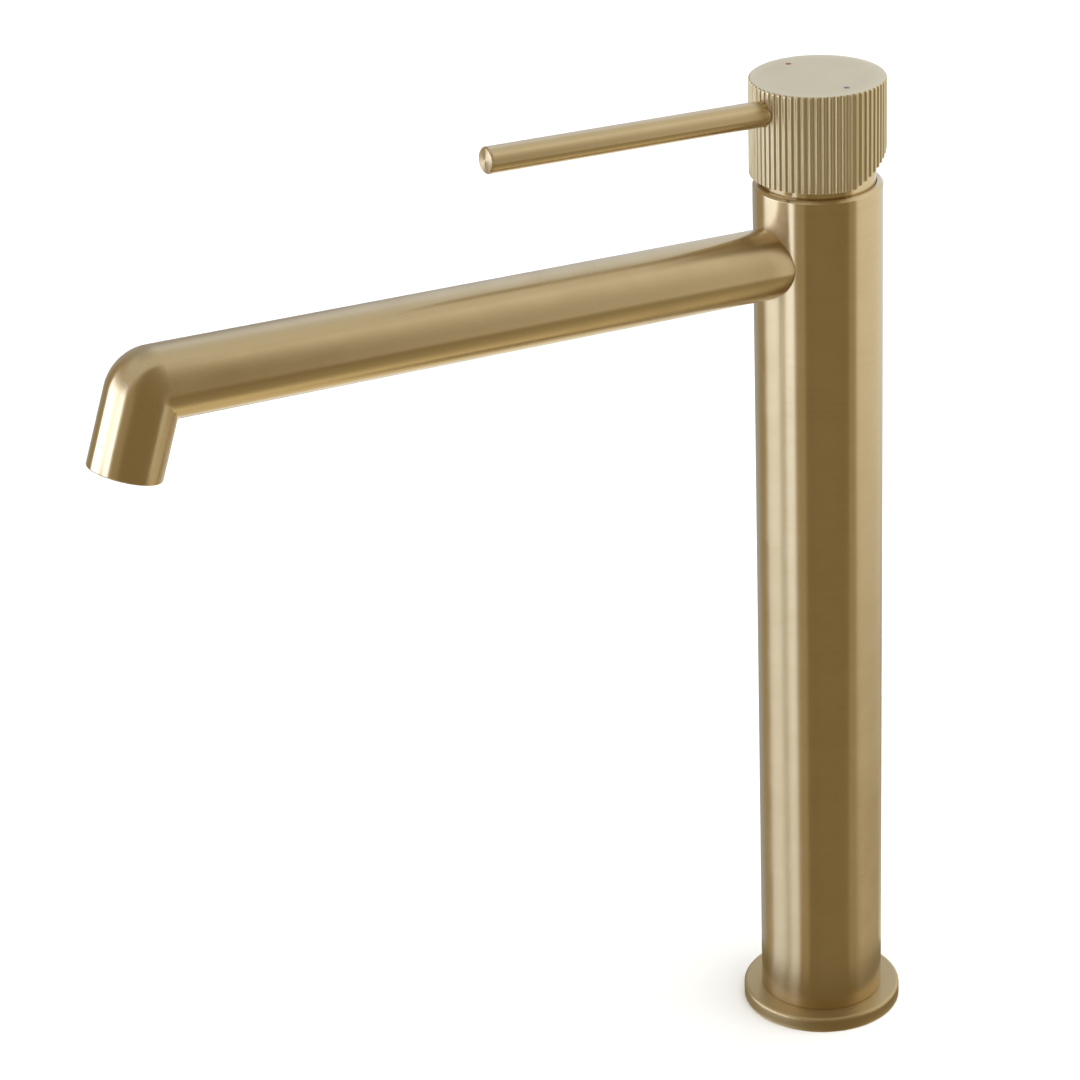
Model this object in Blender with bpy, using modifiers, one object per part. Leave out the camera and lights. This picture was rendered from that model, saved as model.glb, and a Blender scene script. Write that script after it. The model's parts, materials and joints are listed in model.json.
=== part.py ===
"""Tall single-lever basin mixer with a fluted knob, an inclined round spout and a ceramic cartridge.

Metres, +Z up. The origin is the centre of the base on the deck. The spout and the lever point
along -Y, towards the person at the basin. -X is the hot side and +X is the cold side.
"""

import math

import bmesh
import bpy
from mathutils import Matrix, Vector

# ---------------------------------------------------------------- driving dimensions

CLEARANCE = 0.0003          # gap between faces that seat on or slide past each other
PIN_CLEARANCE = 0.0001      # radial gap of the pin and of the index dots
FINE_SEGMENTS = 36          # sides of the large round pieces
SMALL_SEGMENTS = 18         # sides of the small round pieces
PIN_SEGMENTS = 32           # sides of the pin and of the lever
HOLE_SEGMENTS = 12          # sides of the insert's holes
DOT_SEGMENTS = 16           # sides of the index dots
CUT_OVERRUN = 0.002         # how far the spout's bore runs on past both its ends
WELD_DISTANCE = 1e-6        # points nearer than this become one
SHARP_ANGLE = math.radians(30)

# Column and base
COLUMN_RADIUS = 0.020
COLUMN_WALL = 0.002
RIM_HEIGHT = 0.2906         # top edge of the column above the deck
RIM_CHAMFER = 0.0010
FLANGE_WIDTH = 0.006        # how far the flange stands out past the column
FLANGE_THICKNESS = 0.005
FLANGE_ROUNDING = 0.0010
FLANGE_ROUNDING_STEPS = 3
GASKET_WIDTH = 0.0040
GASKET_THICKNESS = 0.0017
GASKET_INSET = 0.0020       # from the flange's outer edge
INLET_BLOCK_HEIGHT = 0.026
COLUMN_SEAL_HEIGHT = 0.0215

# Water inlets, stud hole and risers
INLET_SPREAD = 0.0075       # each inlet's distance from the middle plane
INLET_FORWARD = 0.0032      # both inlets' distance in front of the column's axis
INLET_SOCKET_RADIUS = 0.0050
INLET_SOCKET_DEPTH = 0.014
STUD_HOLE_RADIUS = 0.0040
STUD_HOLE_DEPTH = 0.016
STUD_HOLE_BACK = 0.0095
RISER_RADIUS = 0.0040
RISER_WALL = 0.0010
RISER_INSERTION = 0.008

# Spout
SPOUT_RADIUS = 0.011
SPOUT_WALL = 0.0015
SPOUT_BELOW_RIM = 0.0241    # spout axis where it crosses the column's axis
SPOUT_RISE = math.radians(4.0)
SPOUT_LENGTH = 0.2316       # column axis to the corner, along the spout's axis
ELBOW_OUTER_RADIUS = 0.0145 # rounding of the elbow's outer side
ELBOW_INNER_RADIUS = 0.0008 # rounding of its inner corner
NOZZLE_TILT = math.radians(19.5)
NOZZLE_LENGTH = 0.0259      # corner to the outlet, along the nozzle's axis
SPOUT_SIDES = 28
BEND_STEPS = 7

# Spout fixing
NIPPLE_RADIUS = 0.0060
NIPPLE_WALL = 0.0015
NIPPLE_START = 0.0090       # from the column's axis, along the spout's axis
ADAPTER_LENGTH = 0.015
ADAPTER_OVERLAP = 0.011

# Aerator
AERATOR_WALL = 0.0012
AERATOR_LENGTH = 0.0080
AERATOR_LIP = 0.0010
INSERT_THICKNESS = 0.0050
INSERT_HOLE_RADIUS = 0.0011
INSERT_HOLE_RING = 0.0045
INSERT_HOLES = 6
SCREEN_THICKNESS = 0.0005
WASHER_THICKNESS = 0.0015

# Knob and lever
KNOB_GAP = 0.0028           # column rim to the knob's lower edge
KNOB_HEIGHT = 0.0304
KNOB_WALL = 0.0023
KNOB_ROOF = 0.0030
FLUTE_COUNT = 64
FLUTE_DEPTH = 0.00045
RIB_SHARE = 0.45            # a rib's share of one flute's turn, the rest being groove
LIFT_ANGLE = math.radians(24.0)
UNDERCUT_START = 0.0019     # in front of the column's axis
HUB_RADIUS = 0.0075
HUB_ABOVE_EDGE = 0.0051     # hub's lower end above the knob's lower edge
LEVER_RADIUS = 0.0040
LEVER_LENGTH = 0.1184       # column axis to the tip, along the lever
LEVER_START = 0.0010
LEVER_RISE = math.radians(4.0)
LEVER_BELOW_TOP = 0.0091
LEVER_CHAMFER = 0.0005
INDEX_RADIUS = 0.00085
INDEX_INSET = 0.0063        # from the knob's outer radius
INDEX_DEPTH = 0.0012
GRUB_RADIUS = 0.0020
GRUB_ABOVE_HUB = 0.0026
GRUB_SOCKET_RADIUS = 0.0011
GRUB_SOCKET_DEPTH = 0.0015
HEX_SIDES = 6

# Neck ring under the knob
NECK_GAP = 0.0004           # to the column's bore
NECK_RISE = 0.0010          # above the knob's lower edge
NECK_CHAMFER = 0.0007
NECK_SIDE_GAP = 0.0011      # to the inside of the knob

# Cartridge, from the lever's pivot downwards
PIVOT_BELOW_KNOB = 0.0024
PIN_RADIUS = 0.0015
ROTOR_ABOVE_PIVOT = 0.0030
ROTOR_FLANGE_HEIGHT = 0.0048
ROTOR_STEP = 0.0033
SPINDLE_SIZE = 0.0070
SPINDLE_ABOVE_PIVOT = 0.0190
SPINDLE_BELOW_PIVOT = 0.0062
SPINDLE_TIP_SIZE = 0.0034
SPINDLE_TIP_LENGTH = 0.0038
SPINDLE_ARM = 0.0056        # pivot to the middle of the tip's drive
SLOT_FRONT = 0.0045
SLOT_BACK = 0.0062
CARRIER_WIDTH = 0.0140
CARRIER_LENGTH = 0.0120
CARRIER_THICKNESS = 0.0024
CARRIER_POCKET_LENGTH = 0.0046
DISC_OFFSET = 0.0012        # moving disc's centre behind the axis when shut
MOVING_DISC_RADIUS = 0.0090
MOVING_DISC_THICKNESS = 0.0023
MIXING_RECESS_DEPTH = 0.0014
FIXED_DISC_THICKNESS = 0.0025
DISC_INLET_SPREAD = 0.0050
DISC_INLET_RADIUS = 0.0018
DISC_OUTLET_BACK = 0.0040
DISC_OUTLET_RADIUS = 0.0024
BASE_THICKNESS = 0.0026
BASE_GAP = 0.0004
BASE_INLET_SPREAD = 0.0060
BASE_INLET_RADIUS = 0.0021
SEAT_SEAL_HEIGHT = 0.0011
SEAT_SEAL_WIDTH = 0.0009
HOUSING_WALL = 0.0013
HOUSING_FLANGE_WIDTH = 0.0013
HOUSING_FLANGE_HEIGHT = 0.0041
HOUSING_NECK_WALL = 0.0022
HOUSING_SHOULDER = 0.0012
HOUSING_ABOVE_PIVOT = 0.0025
HOUSING_NECK_GAP = 0.0005
NUT_WALL = 0.0020
NUT_HEIGHT = 0.0079
NUT_NOTCH_WIDTH = 0.0030
NUT_NOTCH_DEPTH = 0.0020
SLEEVE_WALL = 0.0012
CORE_LENGTH = 0.0255        # solid part of the valve core, below the cartridge seat
CORE_PASSAGE_RADIUS = 0.0025
CORE_CHANNEL_RADIUS = 0.0040
CORE_OUTLET_RADIUS = 0.0028

# Round seals and their grooves
SEAL_WIRE = 0.00065         # half the thickness of a seal's section
SEAL_SIDES = 6

# ---------------------------------------------------------------- derived sizes

COLUMN_BORE = COLUMN_RADIUS - COLUMN_WALL
FLANGE_RADIUS = COLUMN_RADIUS + FLANGE_WIDTH
CORE_RADIUS = COLUMN_BORE - CLEARANCE
NECK_RADIUS = COLUMN_BORE - NECK_GAP
KNOB_BORE = NECK_RADIUS + NECK_SIDE_GAP
KNOB_RADIUS = KNOB_BORE + KNOB_WALL
KNOB_BOTTOM = RIM_HEIGHT + KNOB_GAP
KNOB_TOP = KNOB_BOTTOM + KNOB_HEIGHT
HUB_BOTTOM = KNOB_BOTTOM + HUB_ABOVE_EDGE
NECK_TOP = KNOB_BOTTOM + NECK_RISE
LEVER_HEIGHT = KNOB_TOP - LEVER_BELOW_TOP
SPOUT_HEIGHT = RIM_HEIGHT - SPOUT_BELOW_RIM
PIVOT_HEIGHT = KNOB_BOTTOM - PIVOT_BELOW_KNOB

NUT_RADIUS = CORE_RADIUS - SLEEVE_WALL - CLEARANCE
HOUSING_RADIUS = NUT_RADIUS - NUT_WALL - CLEARANCE
HOUSING_FLANGE_RADIUS = HOUSING_RADIUS + HOUSING_FLANGE_WIDTH
CAVITY_RADIUS = HOUSING_RADIUS - HOUSING_WALL
ROTOR_FLANGE_RADIUS = CAVITY_RADIUS - CLEARANCE
ROTOR_NECK_RADIUS = ROTOR_FLANGE_RADIUS - ROTOR_STEP
HOUSING_NECK_BORE = ROTOR_NECK_RADIUS + CLEARANCE
HOUSING_NECK_RADIUS = HOUSING_NECK_BORE + HOUSING_NECK_WALL

ROTOR_FLANGE_TOP = PIVOT_HEIGHT - PIN_RADIUS - PIN_CLEARANCE - CLEARANCE
ROTOR_BOTTOM = ROTOR_FLANGE_TOP - ROTOR_FLANGE_HEIGHT
CHANNEL_ROOF = ROTOR_BOTTOM + CARRIER_THICKNESS + CLEARANCE
MOVING_DISC_BOTTOM = ROTOR_BOTTOM - CLEARANCE - MOVING_DISC_THICKNESS
FIXED_DISC_BOTTOM = MOVING_DISC_BOTTOM - CLEARANCE - FIXED_DISC_THICKNESS
BASE_BOTTOM = FIXED_DISC_BOTTOM - CLEARANCE - BASE_THICKNESS
CORE_FLOOR = BASE_BOTTOM - BASE_GAP
CORE_BOTTOM = CORE_FLOOR - CORE_LENGTH
HOUSING_SHOULDER_TOP = ROTOR_FLANGE_TOP + CLEARANCE + HOUSING_SHOULDER
HOUSING_FLANGE_TOP = BASE_BOTTOM + HOUSING_FLANGE_HEIGHT
NUT_BOTTOM = HOUSING_FLANGE_TOP + CLEARANCE
CORE_TOP = NUT_BOTTOM + NUT_HEIGHT + CLEARANCE

INLET_X = {"hot": -INLET_SPREAD, "cold": INLET_SPREAD}
RISER_SOCKET_RADIUS = RISER_RADIUS + CLEARANCE
RISER_BORE = RISER_RADIUS - RISER_WALL
SPOUT_BORE = SPOUT_RADIUS - SPOUT_WALL
NIPPLE_SOCKET_RADIUS = NIPPLE_RADIUS + CLEARANCE
NIPPLE_BORE = NIPPLE_RADIUS - NIPPLE_WALL
ADAPTER_START = COLUMN_RADIUS + 2 * CLEARANCE + SPOUT_RADIUS * math.tan(SPOUT_RISE)
NIPPLE_END = ADAPTER_START + ADAPTER_OVERLAP
SEAL_GROOVE_HEIGHT = 2 * (SEAL_WIRE + CLEARANCE)

# Directions in the middle plane
SPOUT_DIRECTION = Vector((0.0, -math.cos(SPOUT_RISE), math.sin(SPOUT_RISE)))
NOZZLE_DIRECTION = Vector((0.0, -math.sin(NOZZLE_TILT), -math.cos(NOZZLE_TILT)))
SPOUT_CENTRE = Vector((0.0, 0.0, SPOUT_HEIGHT))
SPOUT_CORNER = SPOUT_CENTRE + SPOUT_DIRECTION * SPOUT_LENGTH
NOZZLE_END = SPOUT_CORNER + NOZZLE_DIRECTION * NOZZLE_LENGTH

# Turns a piece's own Z axis onto the spout, the lever and the nozzle
SPOUT_TURN = math.pi / 2 - SPOUT_RISE
LEVER_TURN = math.pi / 2 - LEVER_RISE
NOZZLE_TURN = -NOZZLE_TILT

# ---------------------------------------------------------------- scene and materials

MATERIALS = {
    # name: (colour, roughness, metallic)
    "brushed_gold": ((0.60, 0.47, 0.29), 0.32, 1.0),
    "raw_brass": ((0.72, 0.52, 0.24), 0.38, 1.0),
    "copper": ((0.80, 0.42, 0.28), 0.35, 1.0),
    "steel": ((0.62, 0.62, 0.60), 0.30, 1.0),
    "ceramic": ((0.86, 0.85, 0.82), 0.25, 0.0),
    "acetal": ((0.78, 0.77, 0.72), 0.45, 0.0),
    "rubber": ((0.025, 0.025, 0.027), 0.70, 0.0),
    "hot_enamel": ((0.30, 0.02, 0.02), 0.40, 0.0),
    "cold_enamel": ((0.05, 0.12, 0.30), 0.40, 0.0),
}


def clear_scene():
    """Remove every object that the scene starts with."""
    for obj in list(bpy.data.objects):
        bpy.data.objects.remove(obj, do_unlink=True)


def new_collection(name):
    """Add an empty collection to the scene."""
    collection = bpy.data.collections.new(name)
    bpy.context.scene.collection.children.link(collection)
    return collection


def material(name):
    """Return the named material, made on first use."""
    if name in bpy.data.materials:
        return bpy.data.materials[name]
    colour, roughness, metallic = MATERIALS[name]
    made = bpy.data.materials.new(name)
    made.use_nodes = True
    shader = made.node_tree.nodes["Principled BSDF"]
    shader.inputs["Base Color"].default_value = (*colour, 1.0)
    shader.inputs["Roughness"].default_value = roughness
    shader.inputs["Metallic"].default_value = metallic
    return made


clear_scene()
PARTS = new_collection("basin_mixer")
CUTTERS = new_collection("cutters")


# ---------------------------------------------------------------- modelling helpers

def link(obj, finish=None):
    """Put a piece in the parts collection with its material, or a cutter with the cutters."""
    if finish is None:
        CUTTERS.objects.link(obj)
        obj.hide_render = True
        obj.display_type = "WIRE"
    else:
        PARTS.objects.link(obj)
        obj.data.materials.clear()
        obj.data.materials.append(material(finish))
    return obj


def realise(obj):
    """Return the evaluated object's mesh, welded, smooth and with its sharp edges marked."""
    bpy.context.view_layer.update()
    graph = bpy.context.evaluated_depsgraph_get()
    mesh = bpy.data.meshes.new_from_object(obj.evaluated_get(graph))
    work = bmesh.new()
    work.from_mesh(mesh)
    bmesh.ops.remove_doubles(work, verts=work.verts, dist=WELD_DISTANCE)
    work.to_mesh(mesh)
    work.free()
    mesh.shade_smooth()
    mesh.set_sharp_from_angle(angle=SHARP_ANGLE)
    return mesh


def from_source(name, source, finish, location=(0, 0, 0), turn=0.0):
    """Make a piece from a working object's mesh, placed and turned about X."""
    obj = bpy.data.objects.new(name, realise(source))
    bpy.data.objects.remove(source, do_unlink=True)
    obj.location = location
    obj.rotation_euler = (turn, 0.0, 0.0)
    return link(obj, finish)


def turned(name, profile, finish=None, segments=FINE_SEGMENTS, location=(0, 0, 0), turn=0.0):
    """Spin a profile of (radius, height) points about Z.

    The profile runs down the outer side. One that ends off the axis closes into a ring.
    """
    mesh = bpy.data.meshes.new(name)
    last = len(profile) - 1
    edges = [(i, i + 1) for i in range(last)]
    if profile[0][0] > 0:
        edges.append((last, 0))
    mesh.from_pydata([(radius, 0.0, height) for radius, height in profile], edges, [])
    source = bpy.data.objects.new(name + "_profile", mesh)
    CUTTERS.objects.link(source)
    screw = source.modifiers.new("spin", "SCREW")
    screw.steps = segments
    screw.render_steps = segments
    screw.use_merge_vertices = True
    screw.merge_threshold = 1e-5
    return from_source(name, source, finish, location, turn)


def cylinder(name, radius, low, high, finish=None, segments=SMALL_SEGMENTS, location=(0, 0, 0),
             turn=0.0):
    """A solid cylinder on its own Z axis from low to high."""
    profile = [(0.0, high), (radius, high), (radius, low), (0.0, low)]
    return turned(name, profile, finish, segments, location, turn)


def tube(name, outer, inner, low, high, finish, segments=SMALL_SEGMENTS, location=(0, 0, 0),
         turn=0.0):
    """A plain tube or washer on its own Z axis from low to high."""
    profile = [(outer, high), (outer, low), (inner, low), (inner, high)]
    return turned(name, profile, finish, segments, location, turn)


def box(name, low, high, finish=None, location=(0, 0, 0), turn=0.0):
    """A box between two corners."""
    work = bmesh.new()
    bmesh.ops.create_cube(work, size=1.0)
    size = Vector(high) - Vector(low)
    centre = (Vector(high) + Vector(low)) / 2
    place = Matrix.Translation(centre) @ Matrix.Diagonal((*size, 1.0))
    bmesh.ops.transform(work, verts=work.verts, matrix=place)
    mesh = bpy.data.meshes.new(name)
    work.to_mesh(mesh)
    work.free()
    obj = bpy.data.objects.new(name, mesh)
    obj.location = location
    obj.rotation_euler = (turn, 0.0, 0.0)
    return link(obj, finish)


def cut(piece, cutter):
    """Take a cutter's shape out of a piece."""
    boolean = piece.modifiers.new(cutter.name, "BOOLEAN")
    boolean.operation = "DIFFERENCE"
    boolean.solver = "EXACT"
    boolean.object = cutter
    return piece


def seal(name, ring_radius, height, location=(0, 0, 0), turn=0.0, segments=SMALL_SEGMENTS):
    """A round rubber seal: a circular section spun about Z."""
    profile = []
    for step in range(SEAL_SIDES):
        angle = -2 * math.pi * step / SEAL_SIDES
        profile.append((
            ring_radius + SEAL_WIRE * math.cos(angle),
            height + SEAL_WIRE * math.sin(angle),
        ))
    return turned(name, profile, "rubber", segments, location, turn)


def groove_points(radius, height, depth=2 * SEAL_WIRE + CLEARANCE):
    """Profile points, downwards, of a seal groove. A negative depth cuts into an outer side."""
    low = height - SEAL_GROOVE_HEIGHT / 2
    high = height + SEAL_GROOVE_HEIGHT / 2
    return [(radius, high), (radius + depth, high), (radius + depth, low), (radius, low)]


def bore(name, steps, location=(0, 0, 0), turn=0.0):
    """A cutter for a stepped round bore: points down its side, closed to its axis."""
    profile = [(0.0, steps[0][1]), *steps, (0.0, steps[-1][1])]
    return turned(name, profile, None, SMALL_SEGMENTS, location, turn)


def outline_solid(name, points, thickness):
    """A flat outline in XY, thickened evenly to both sides of its plane."""
    curve = bpy.data.curves.new(name + "_outline", "CURVE")
    curve.dimensions = "2D"
    curve.fill_mode = "BOTH"
    curve.extrude = thickness / 2
    spline = curve.splines.new("POLY")
    spline.points.add(len(points) - 1)
    for point, (x, y) in zip(spline.points, points):
        point.co = (x, y, 0.0, 1.0)
    spline.use_cyclic_u = True
    source = bpy.data.objects.new(name + "_outline", curve)
    CUTTERS.objects.link(source)
    mesh = realise(source)
    bpy.data.objects.remove(source, do_unlink=True)
    return bpy.data.objects.new(name, mesh)


def joint_axis(name, location):
    """An empty on a joint's axis, to hold the pieces that move about it."""
    empty = bpy.data.objects.new(name, None)
    empty.location = location
    empty.empty_display_size = 0.01
    PARTS.objects.link(empty)
    return empty


def ride(empty, pieces):
    """Parent pieces to a joint's empty without moving them."""
    for piece in pieces:
        piece.parent = empty
        piece.matrix_parent_inverse = Matrix.Translation(-empty.location)


# ---------------------------------------------------------------- base and column

def column_tube():
    """The column: one seamless tube with a chamfered rim and the spout's hole."""
    bottom = FLANGE_THICKNESS + CLEARANCE
    profile = [
        (COLUMN_RADIUS - RIM_CHAMFER, RIM_HEIGHT),
        (COLUMN_RADIUS, RIM_HEIGHT - RIM_CHAMFER),
        (COLUMN_RADIUS, bottom),
        (COLUMN_BORE, bottom),
        (COLUMN_BORE, RIM_HEIGHT),
    ]
    piece = turned("column_tube", profile, "brushed_gold")
    hole = cylinder("column_spout_hole", NIPPLE_SOCKET_RADIUS, NIPPLE_START, NIPPLE_END,
                    location=SPOUT_CENTRE, turn=SPOUT_TURN)
    return cut(piece, hole)


def base_flange():
    """The round flange on the deck, with the gasket's groove in its underside."""
    top = FLANGE_THICKNESS
    groove_outer = FLANGE_RADIUS - GASKET_INSET + CLEARANCE
    groove_inner = FLANGE_RADIUS - GASKET_INSET - GASKET_WIDTH - CLEARANCE
    groove_roof = GASKET_THICKNESS + 2 * CLEARANCE
    profile = []
    for step in range(FLANGE_ROUNDING_STEPS + 1):
        angle = math.pi / 2 * (1 - step / FLANGE_ROUNDING_STEPS)
        profile.append((
            FLANGE_RADIUS - FLANGE_ROUNDING * (1 - math.cos(angle)),
            top - FLANGE_ROUNDING * (1 - math.sin(angle)),
        ))
    profile += [
        (FLANGE_RADIUS, 0.0),
        (groove_outer, 0.0),
        (groove_outer, groove_roof),
        (groove_inner, groove_roof),
        (groove_inner, 0.0),
        (COLUMN_BORE, 0.0),
        (COLUMN_BORE, top),
    ]
    return turned("base_flange", profile, "brushed_gold")


def base_gasket():
    """The flat rubber ring that seals the flange to the deck."""
    outer = FLANGE_RADIUS - GASKET_INSET
    low = CLEARANCE / 2
    return tube("base_gasket", outer, outer - GASKET_WIDTH, low, low + GASKET_THICKNESS, "rubber",
                FINE_SEGMENTS)


def inlet_block():
    """The plug in the column's foot, with two hose sockets, the stud hole and the riser sockets."""
    top = INLET_BLOCK_HEIGHT
    column_groove = groove_points(CORE_RADIUS, COLUMN_SEAL_HEIGHT, -2 * SEAL_WIRE - CLEARANCE)
    profile = [(0.0, top), (CORE_RADIUS, top), *column_groove, (CORE_RADIUS, 0.0), (0.0, 0.0)]
    piece = turned("inlet_block", profile, "raw_brass")
    riser_floor = top - RISER_INSERTION
    waterway = [
        (RISER_SOCKET_RADIUS, top + CLEARANCE),
        *groove_points(RISER_SOCKET_RADIUS, top - RISER_INSERTION / 2),
        (RISER_SOCKET_RADIUS, riser_floor),
        (RISER_BORE, riser_floor),
        (RISER_BORE, INLET_SOCKET_DEPTH),
        (INLET_SOCKET_RADIUS, INLET_SOCKET_DEPTH),
        (INLET_SOCKET_RADIUS, -CLEARANCE),
    ]
    for side, x in INLET_X.items():
        cut(piece, bore(side + "_inlet", waterway, (x, -INLET_FORWARD, 0.0)))
    stud_hole = cylinder("stud_hole", STUD_HOLE_RADIUS, -CLEARANCE, STUD_HOLE_DEPTH,
                         location=(0.0, STUD_HOLE_BACK, 0.0))
    return cut(piece, stud_hole)


def column_seal():
    """The seal between the inlet block and the column."""
    return seal("column_seal", CORE_RADIUS - SEAL_WIRE, COLUMN_SEAL_HEIGHT, segments=FINE_SEGMENTS)


def risers():
    """The hot and cold copper tubes inside the column, with a seal at each end."""
    low = INLET_BLOCK_HEIGHT - RISER_INSERTION + CLEARANCE
    high = CORE_BOTTOM + RISER_INSERTION - CLEARANCE
    pieces = []
    for side, x in INLET_X.items():
        place = (x, -INLET_FORWARD, 0.0)
        pieces.append(tube(side + "_riser", RISER_RADIUS, RISER_BORE, low, high, "copper",
                           location=place))
        ring = RISER_SOCKET_RADIUS + SEAL_WIRE
        lower = INLET_BLOCK_HEIGHT - RISER_INSERTION / 2
        upper = CORE_BOTTOM + RISER_INSERTION / 2
        pieces.append(seal(side + "_riser_lower_seal", ring, lower, location=place))
        pieces.append(seal(side + "_riser_upper_seal", ring, upper, location=place))
    return pieces


# ---------------------------------------------------------------- valve core and spout

def valve_core():
    """The brass core in the column's head: riser sockets, waterways, spout socket, cartridge seat."""
    seat_radius = HOUSING_FLANGE_RADIUS + CLEARANCE
    thread_radius = NUT_RADIUS + CLEARANCE
    profile = [
        (0.0, CORE_FLOOR),
        (seat_radius, CORE_FLOOR),
        (seat_radius, HOUSING_FLANGE_TOP),
        (thread_radius, HOUSING_FLANGE_TOP),
        (thread_radius, CORE_TOP),
        (CORE_RADIUS, CORE_TOP),
        (CORE_RADIUS, CORE_BOTTOM),
        (0.0, CORE_BOTTOM),
    ]
    piece = turned("valve_core", profile, "raw_brass")
    riser_roof = CORE_BOTTOM + RISER_INSERTION
    waterway = [
        (CORE_PASSAGE_RADIUS, CORE_FLOOR + CLEARANCE),
        (CORE_PASSAGE_RADIUS, riser_roof),
        (RISER_SOCKET_RADIUS, riser_roof),
        *groove_points(RISER_SOCKET_RADIUS, CORE_BOTTOM + RISER_INSERTION / 2),
        (RISER_SOCKET_RADIUS, CORE_BOTTOM - CLEARANCE),
    ]
    for side, x in INLET_X.items():
        cut(piece, bore(side + "_core_waterway", waterway, (x, -INLET_FORWARD, 0.0)))
    nipple_floor = NIPPLE_START - CLEARANCE
    spout_socket = [
        (NIPPLE_SOCKET_RADIUS, COLUMN_RADIUS),
        *groove_points(NIPPLE_SOCKET_RADIUS, nipple_seal_place()),
        (NIPPLE_SOCKET_RADIUS, nipple_floor),
        (CORE_CHANNEL_RADIUS, nipple_floor),
        (CORE_CHANNEL_RADIUS, -DISC_OUTLET_BACK - CORE_CHANNEL_RADIUS),
    ]
    cut(piece, bore("core_spout_socket", spout_socket, SPOUT_CENTRE, SPOUT_TURN))
    outlet = [(CORE_OUTLET_RADIUS, CORE_FLOOR + CLEARANCE), (CORE_OUTLET_RADIUS, SPOUT_HEIGHT)]
    return cut(piece, bore("core_outlet", outlet, (0.0, DISC_OUTLET_BACK, 0.0)))


def nipple_seal_place():
    """Where the nipple's seal lies along the spout's axis: midway in the core's socket."""
    return (NIPPLE_START + CORE_RADIUS) / 2


def spout_fixing():
    """The threaded nipple through the column's wall, its seal, and the adapter inside the spout."""
    nipple = tube("spout_nipple", NIPPLE_RADIUS, NIPPLE_BORE, NIPPLE_START, NIPPLE_END, "raw_brass",
                  location=SPOUT_CENTRE, turn=SPOUT_TURN)
    ring = seal("spout_nipple_seal", NIPPLE_SOCKET_RADIUS + SEAL_WIRE, nipple_seal_place(),
                location=SPOUT_CENTRE, turn=SPOUT_TURN)
    radius = SPOUT_BORE - CLEARANCE
    start = ADAPTER_START
    ledge = NIPPLE_END + CLEARANCE
    end = start + ADAPTER_LENGTH
    profile = [
        (radius, end),
        (radius, start),
        (NIPPLE_SOCKET_RADIUS, start),
        (NIPPLE_SOCKET_RADIUS, ledge),
        (NIPPLE_BORE, ledge),
        (NIPPLE_BORE, end),
    ]
    adapter = turned("spout_adapter", profile, "raw_brass", SPOUT_SIDES, SPOUT_CENTRE, SPOUT_TURN)
    return [nipple, ring, adapter]


def spout_bar(name, radius, start, end_overrun):
    """A round bar along the spout, from a distance along its axis to past the outlet.

    Each line along the bar's side runs straight, turns through an arc and runs straight again.
    The arcs share one centre, but none is tighter than the elbow's inner corner.
    """
    bend = math.pi / 2 - NOZZLE_TILT + SPOUT_RISE
    up = Vector((0.0, math.sin(SPOUT_RISE), math.cos(SPOUT_RISE)))
    spokes = []
    for step in range(BEND_STEPS + 1):
        angle = bend * step / BEND_STEPS
        spokes.append(up * math.cos(angle) + SPOUT_DIRECTION * math.sin(angle))
    first = SPOUT_CENTRE + SPOUT_DIRECTION * start
    last = NOZZLE_END + NOZZLE_DIRECTION * end_overrun
    lines = []
    for side in range(SPOUT_SIDES):
        turn = 2 * math.pi * side / SPOUT_SIDES
        across = Vector((radius * math.cos(turn), 0.0, 0.0))
        lift = radius * math.sin(turn)
        arc = max(ELBOW_OUTER_RADIUS - SPOUT_RADIUS + lift, ELBOW_INNER_RADIUS)
        bend_start = (lift - arc) * math.tan(bend / 2)
        centre = SPOUT_CORNER + up * (lift - arc) + SPOUT_DIRECTION * bend_start + across
        line = [first + up * lift + across]
        line += [centre + spoke * arc for spoke in spokes]
        line.append(last + spokes[-1] * lift + across)
        lines.append(line)
    stations = len(lines[0])
    vertices = [line[station] for station in range(stations) for line in lines]
    faces = [tuple(reversed(range(SPOUT_SIDES)))]
    for ring in range(0, (stations - 1) * SPOUT_SIDES, SPOUT_SIDES):
        for side in range(SPOUT_SIDES):
            after = (side + 1) % SPOUT_SIDES
            faces.append((ring + side, ring + after, ring + SPOUT_SIDES + after,
                          ring + SPOUT_SIDES + side))
    faces.append(tuple(range((stations - 1) * SPOUT_SIDES, stations * SPOUT_SIDES)))
    mesh = bpy.data.meshes.new(name)
    mesh.from_pydata(vertices, [], faces)
    return bpy.data.objects.new(name, mesh)


def spout_tube():
    """The spout: an angled tube whose end is coped to fit against the round column."""
    buried = COLUMN_RADIUS / 2
    piece = link(spout_bar("spout_tube", SPOUT_RADIUS, buried, 0.0), "brushed_gold")
    cut(piece, link(spout_bar("spout_passage", SPOUT_BORE, buried - CUT_OVERRUN, CUT_OVERRUN)))
    cope = cylinder("spout_cope", COLUMN_RADIUS + CLEARANCE, CORE_BOTTOM, CORE_TOP,
                    segments=2 * FINE_SEGMENTS)
    return cut(piece, cope)


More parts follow.
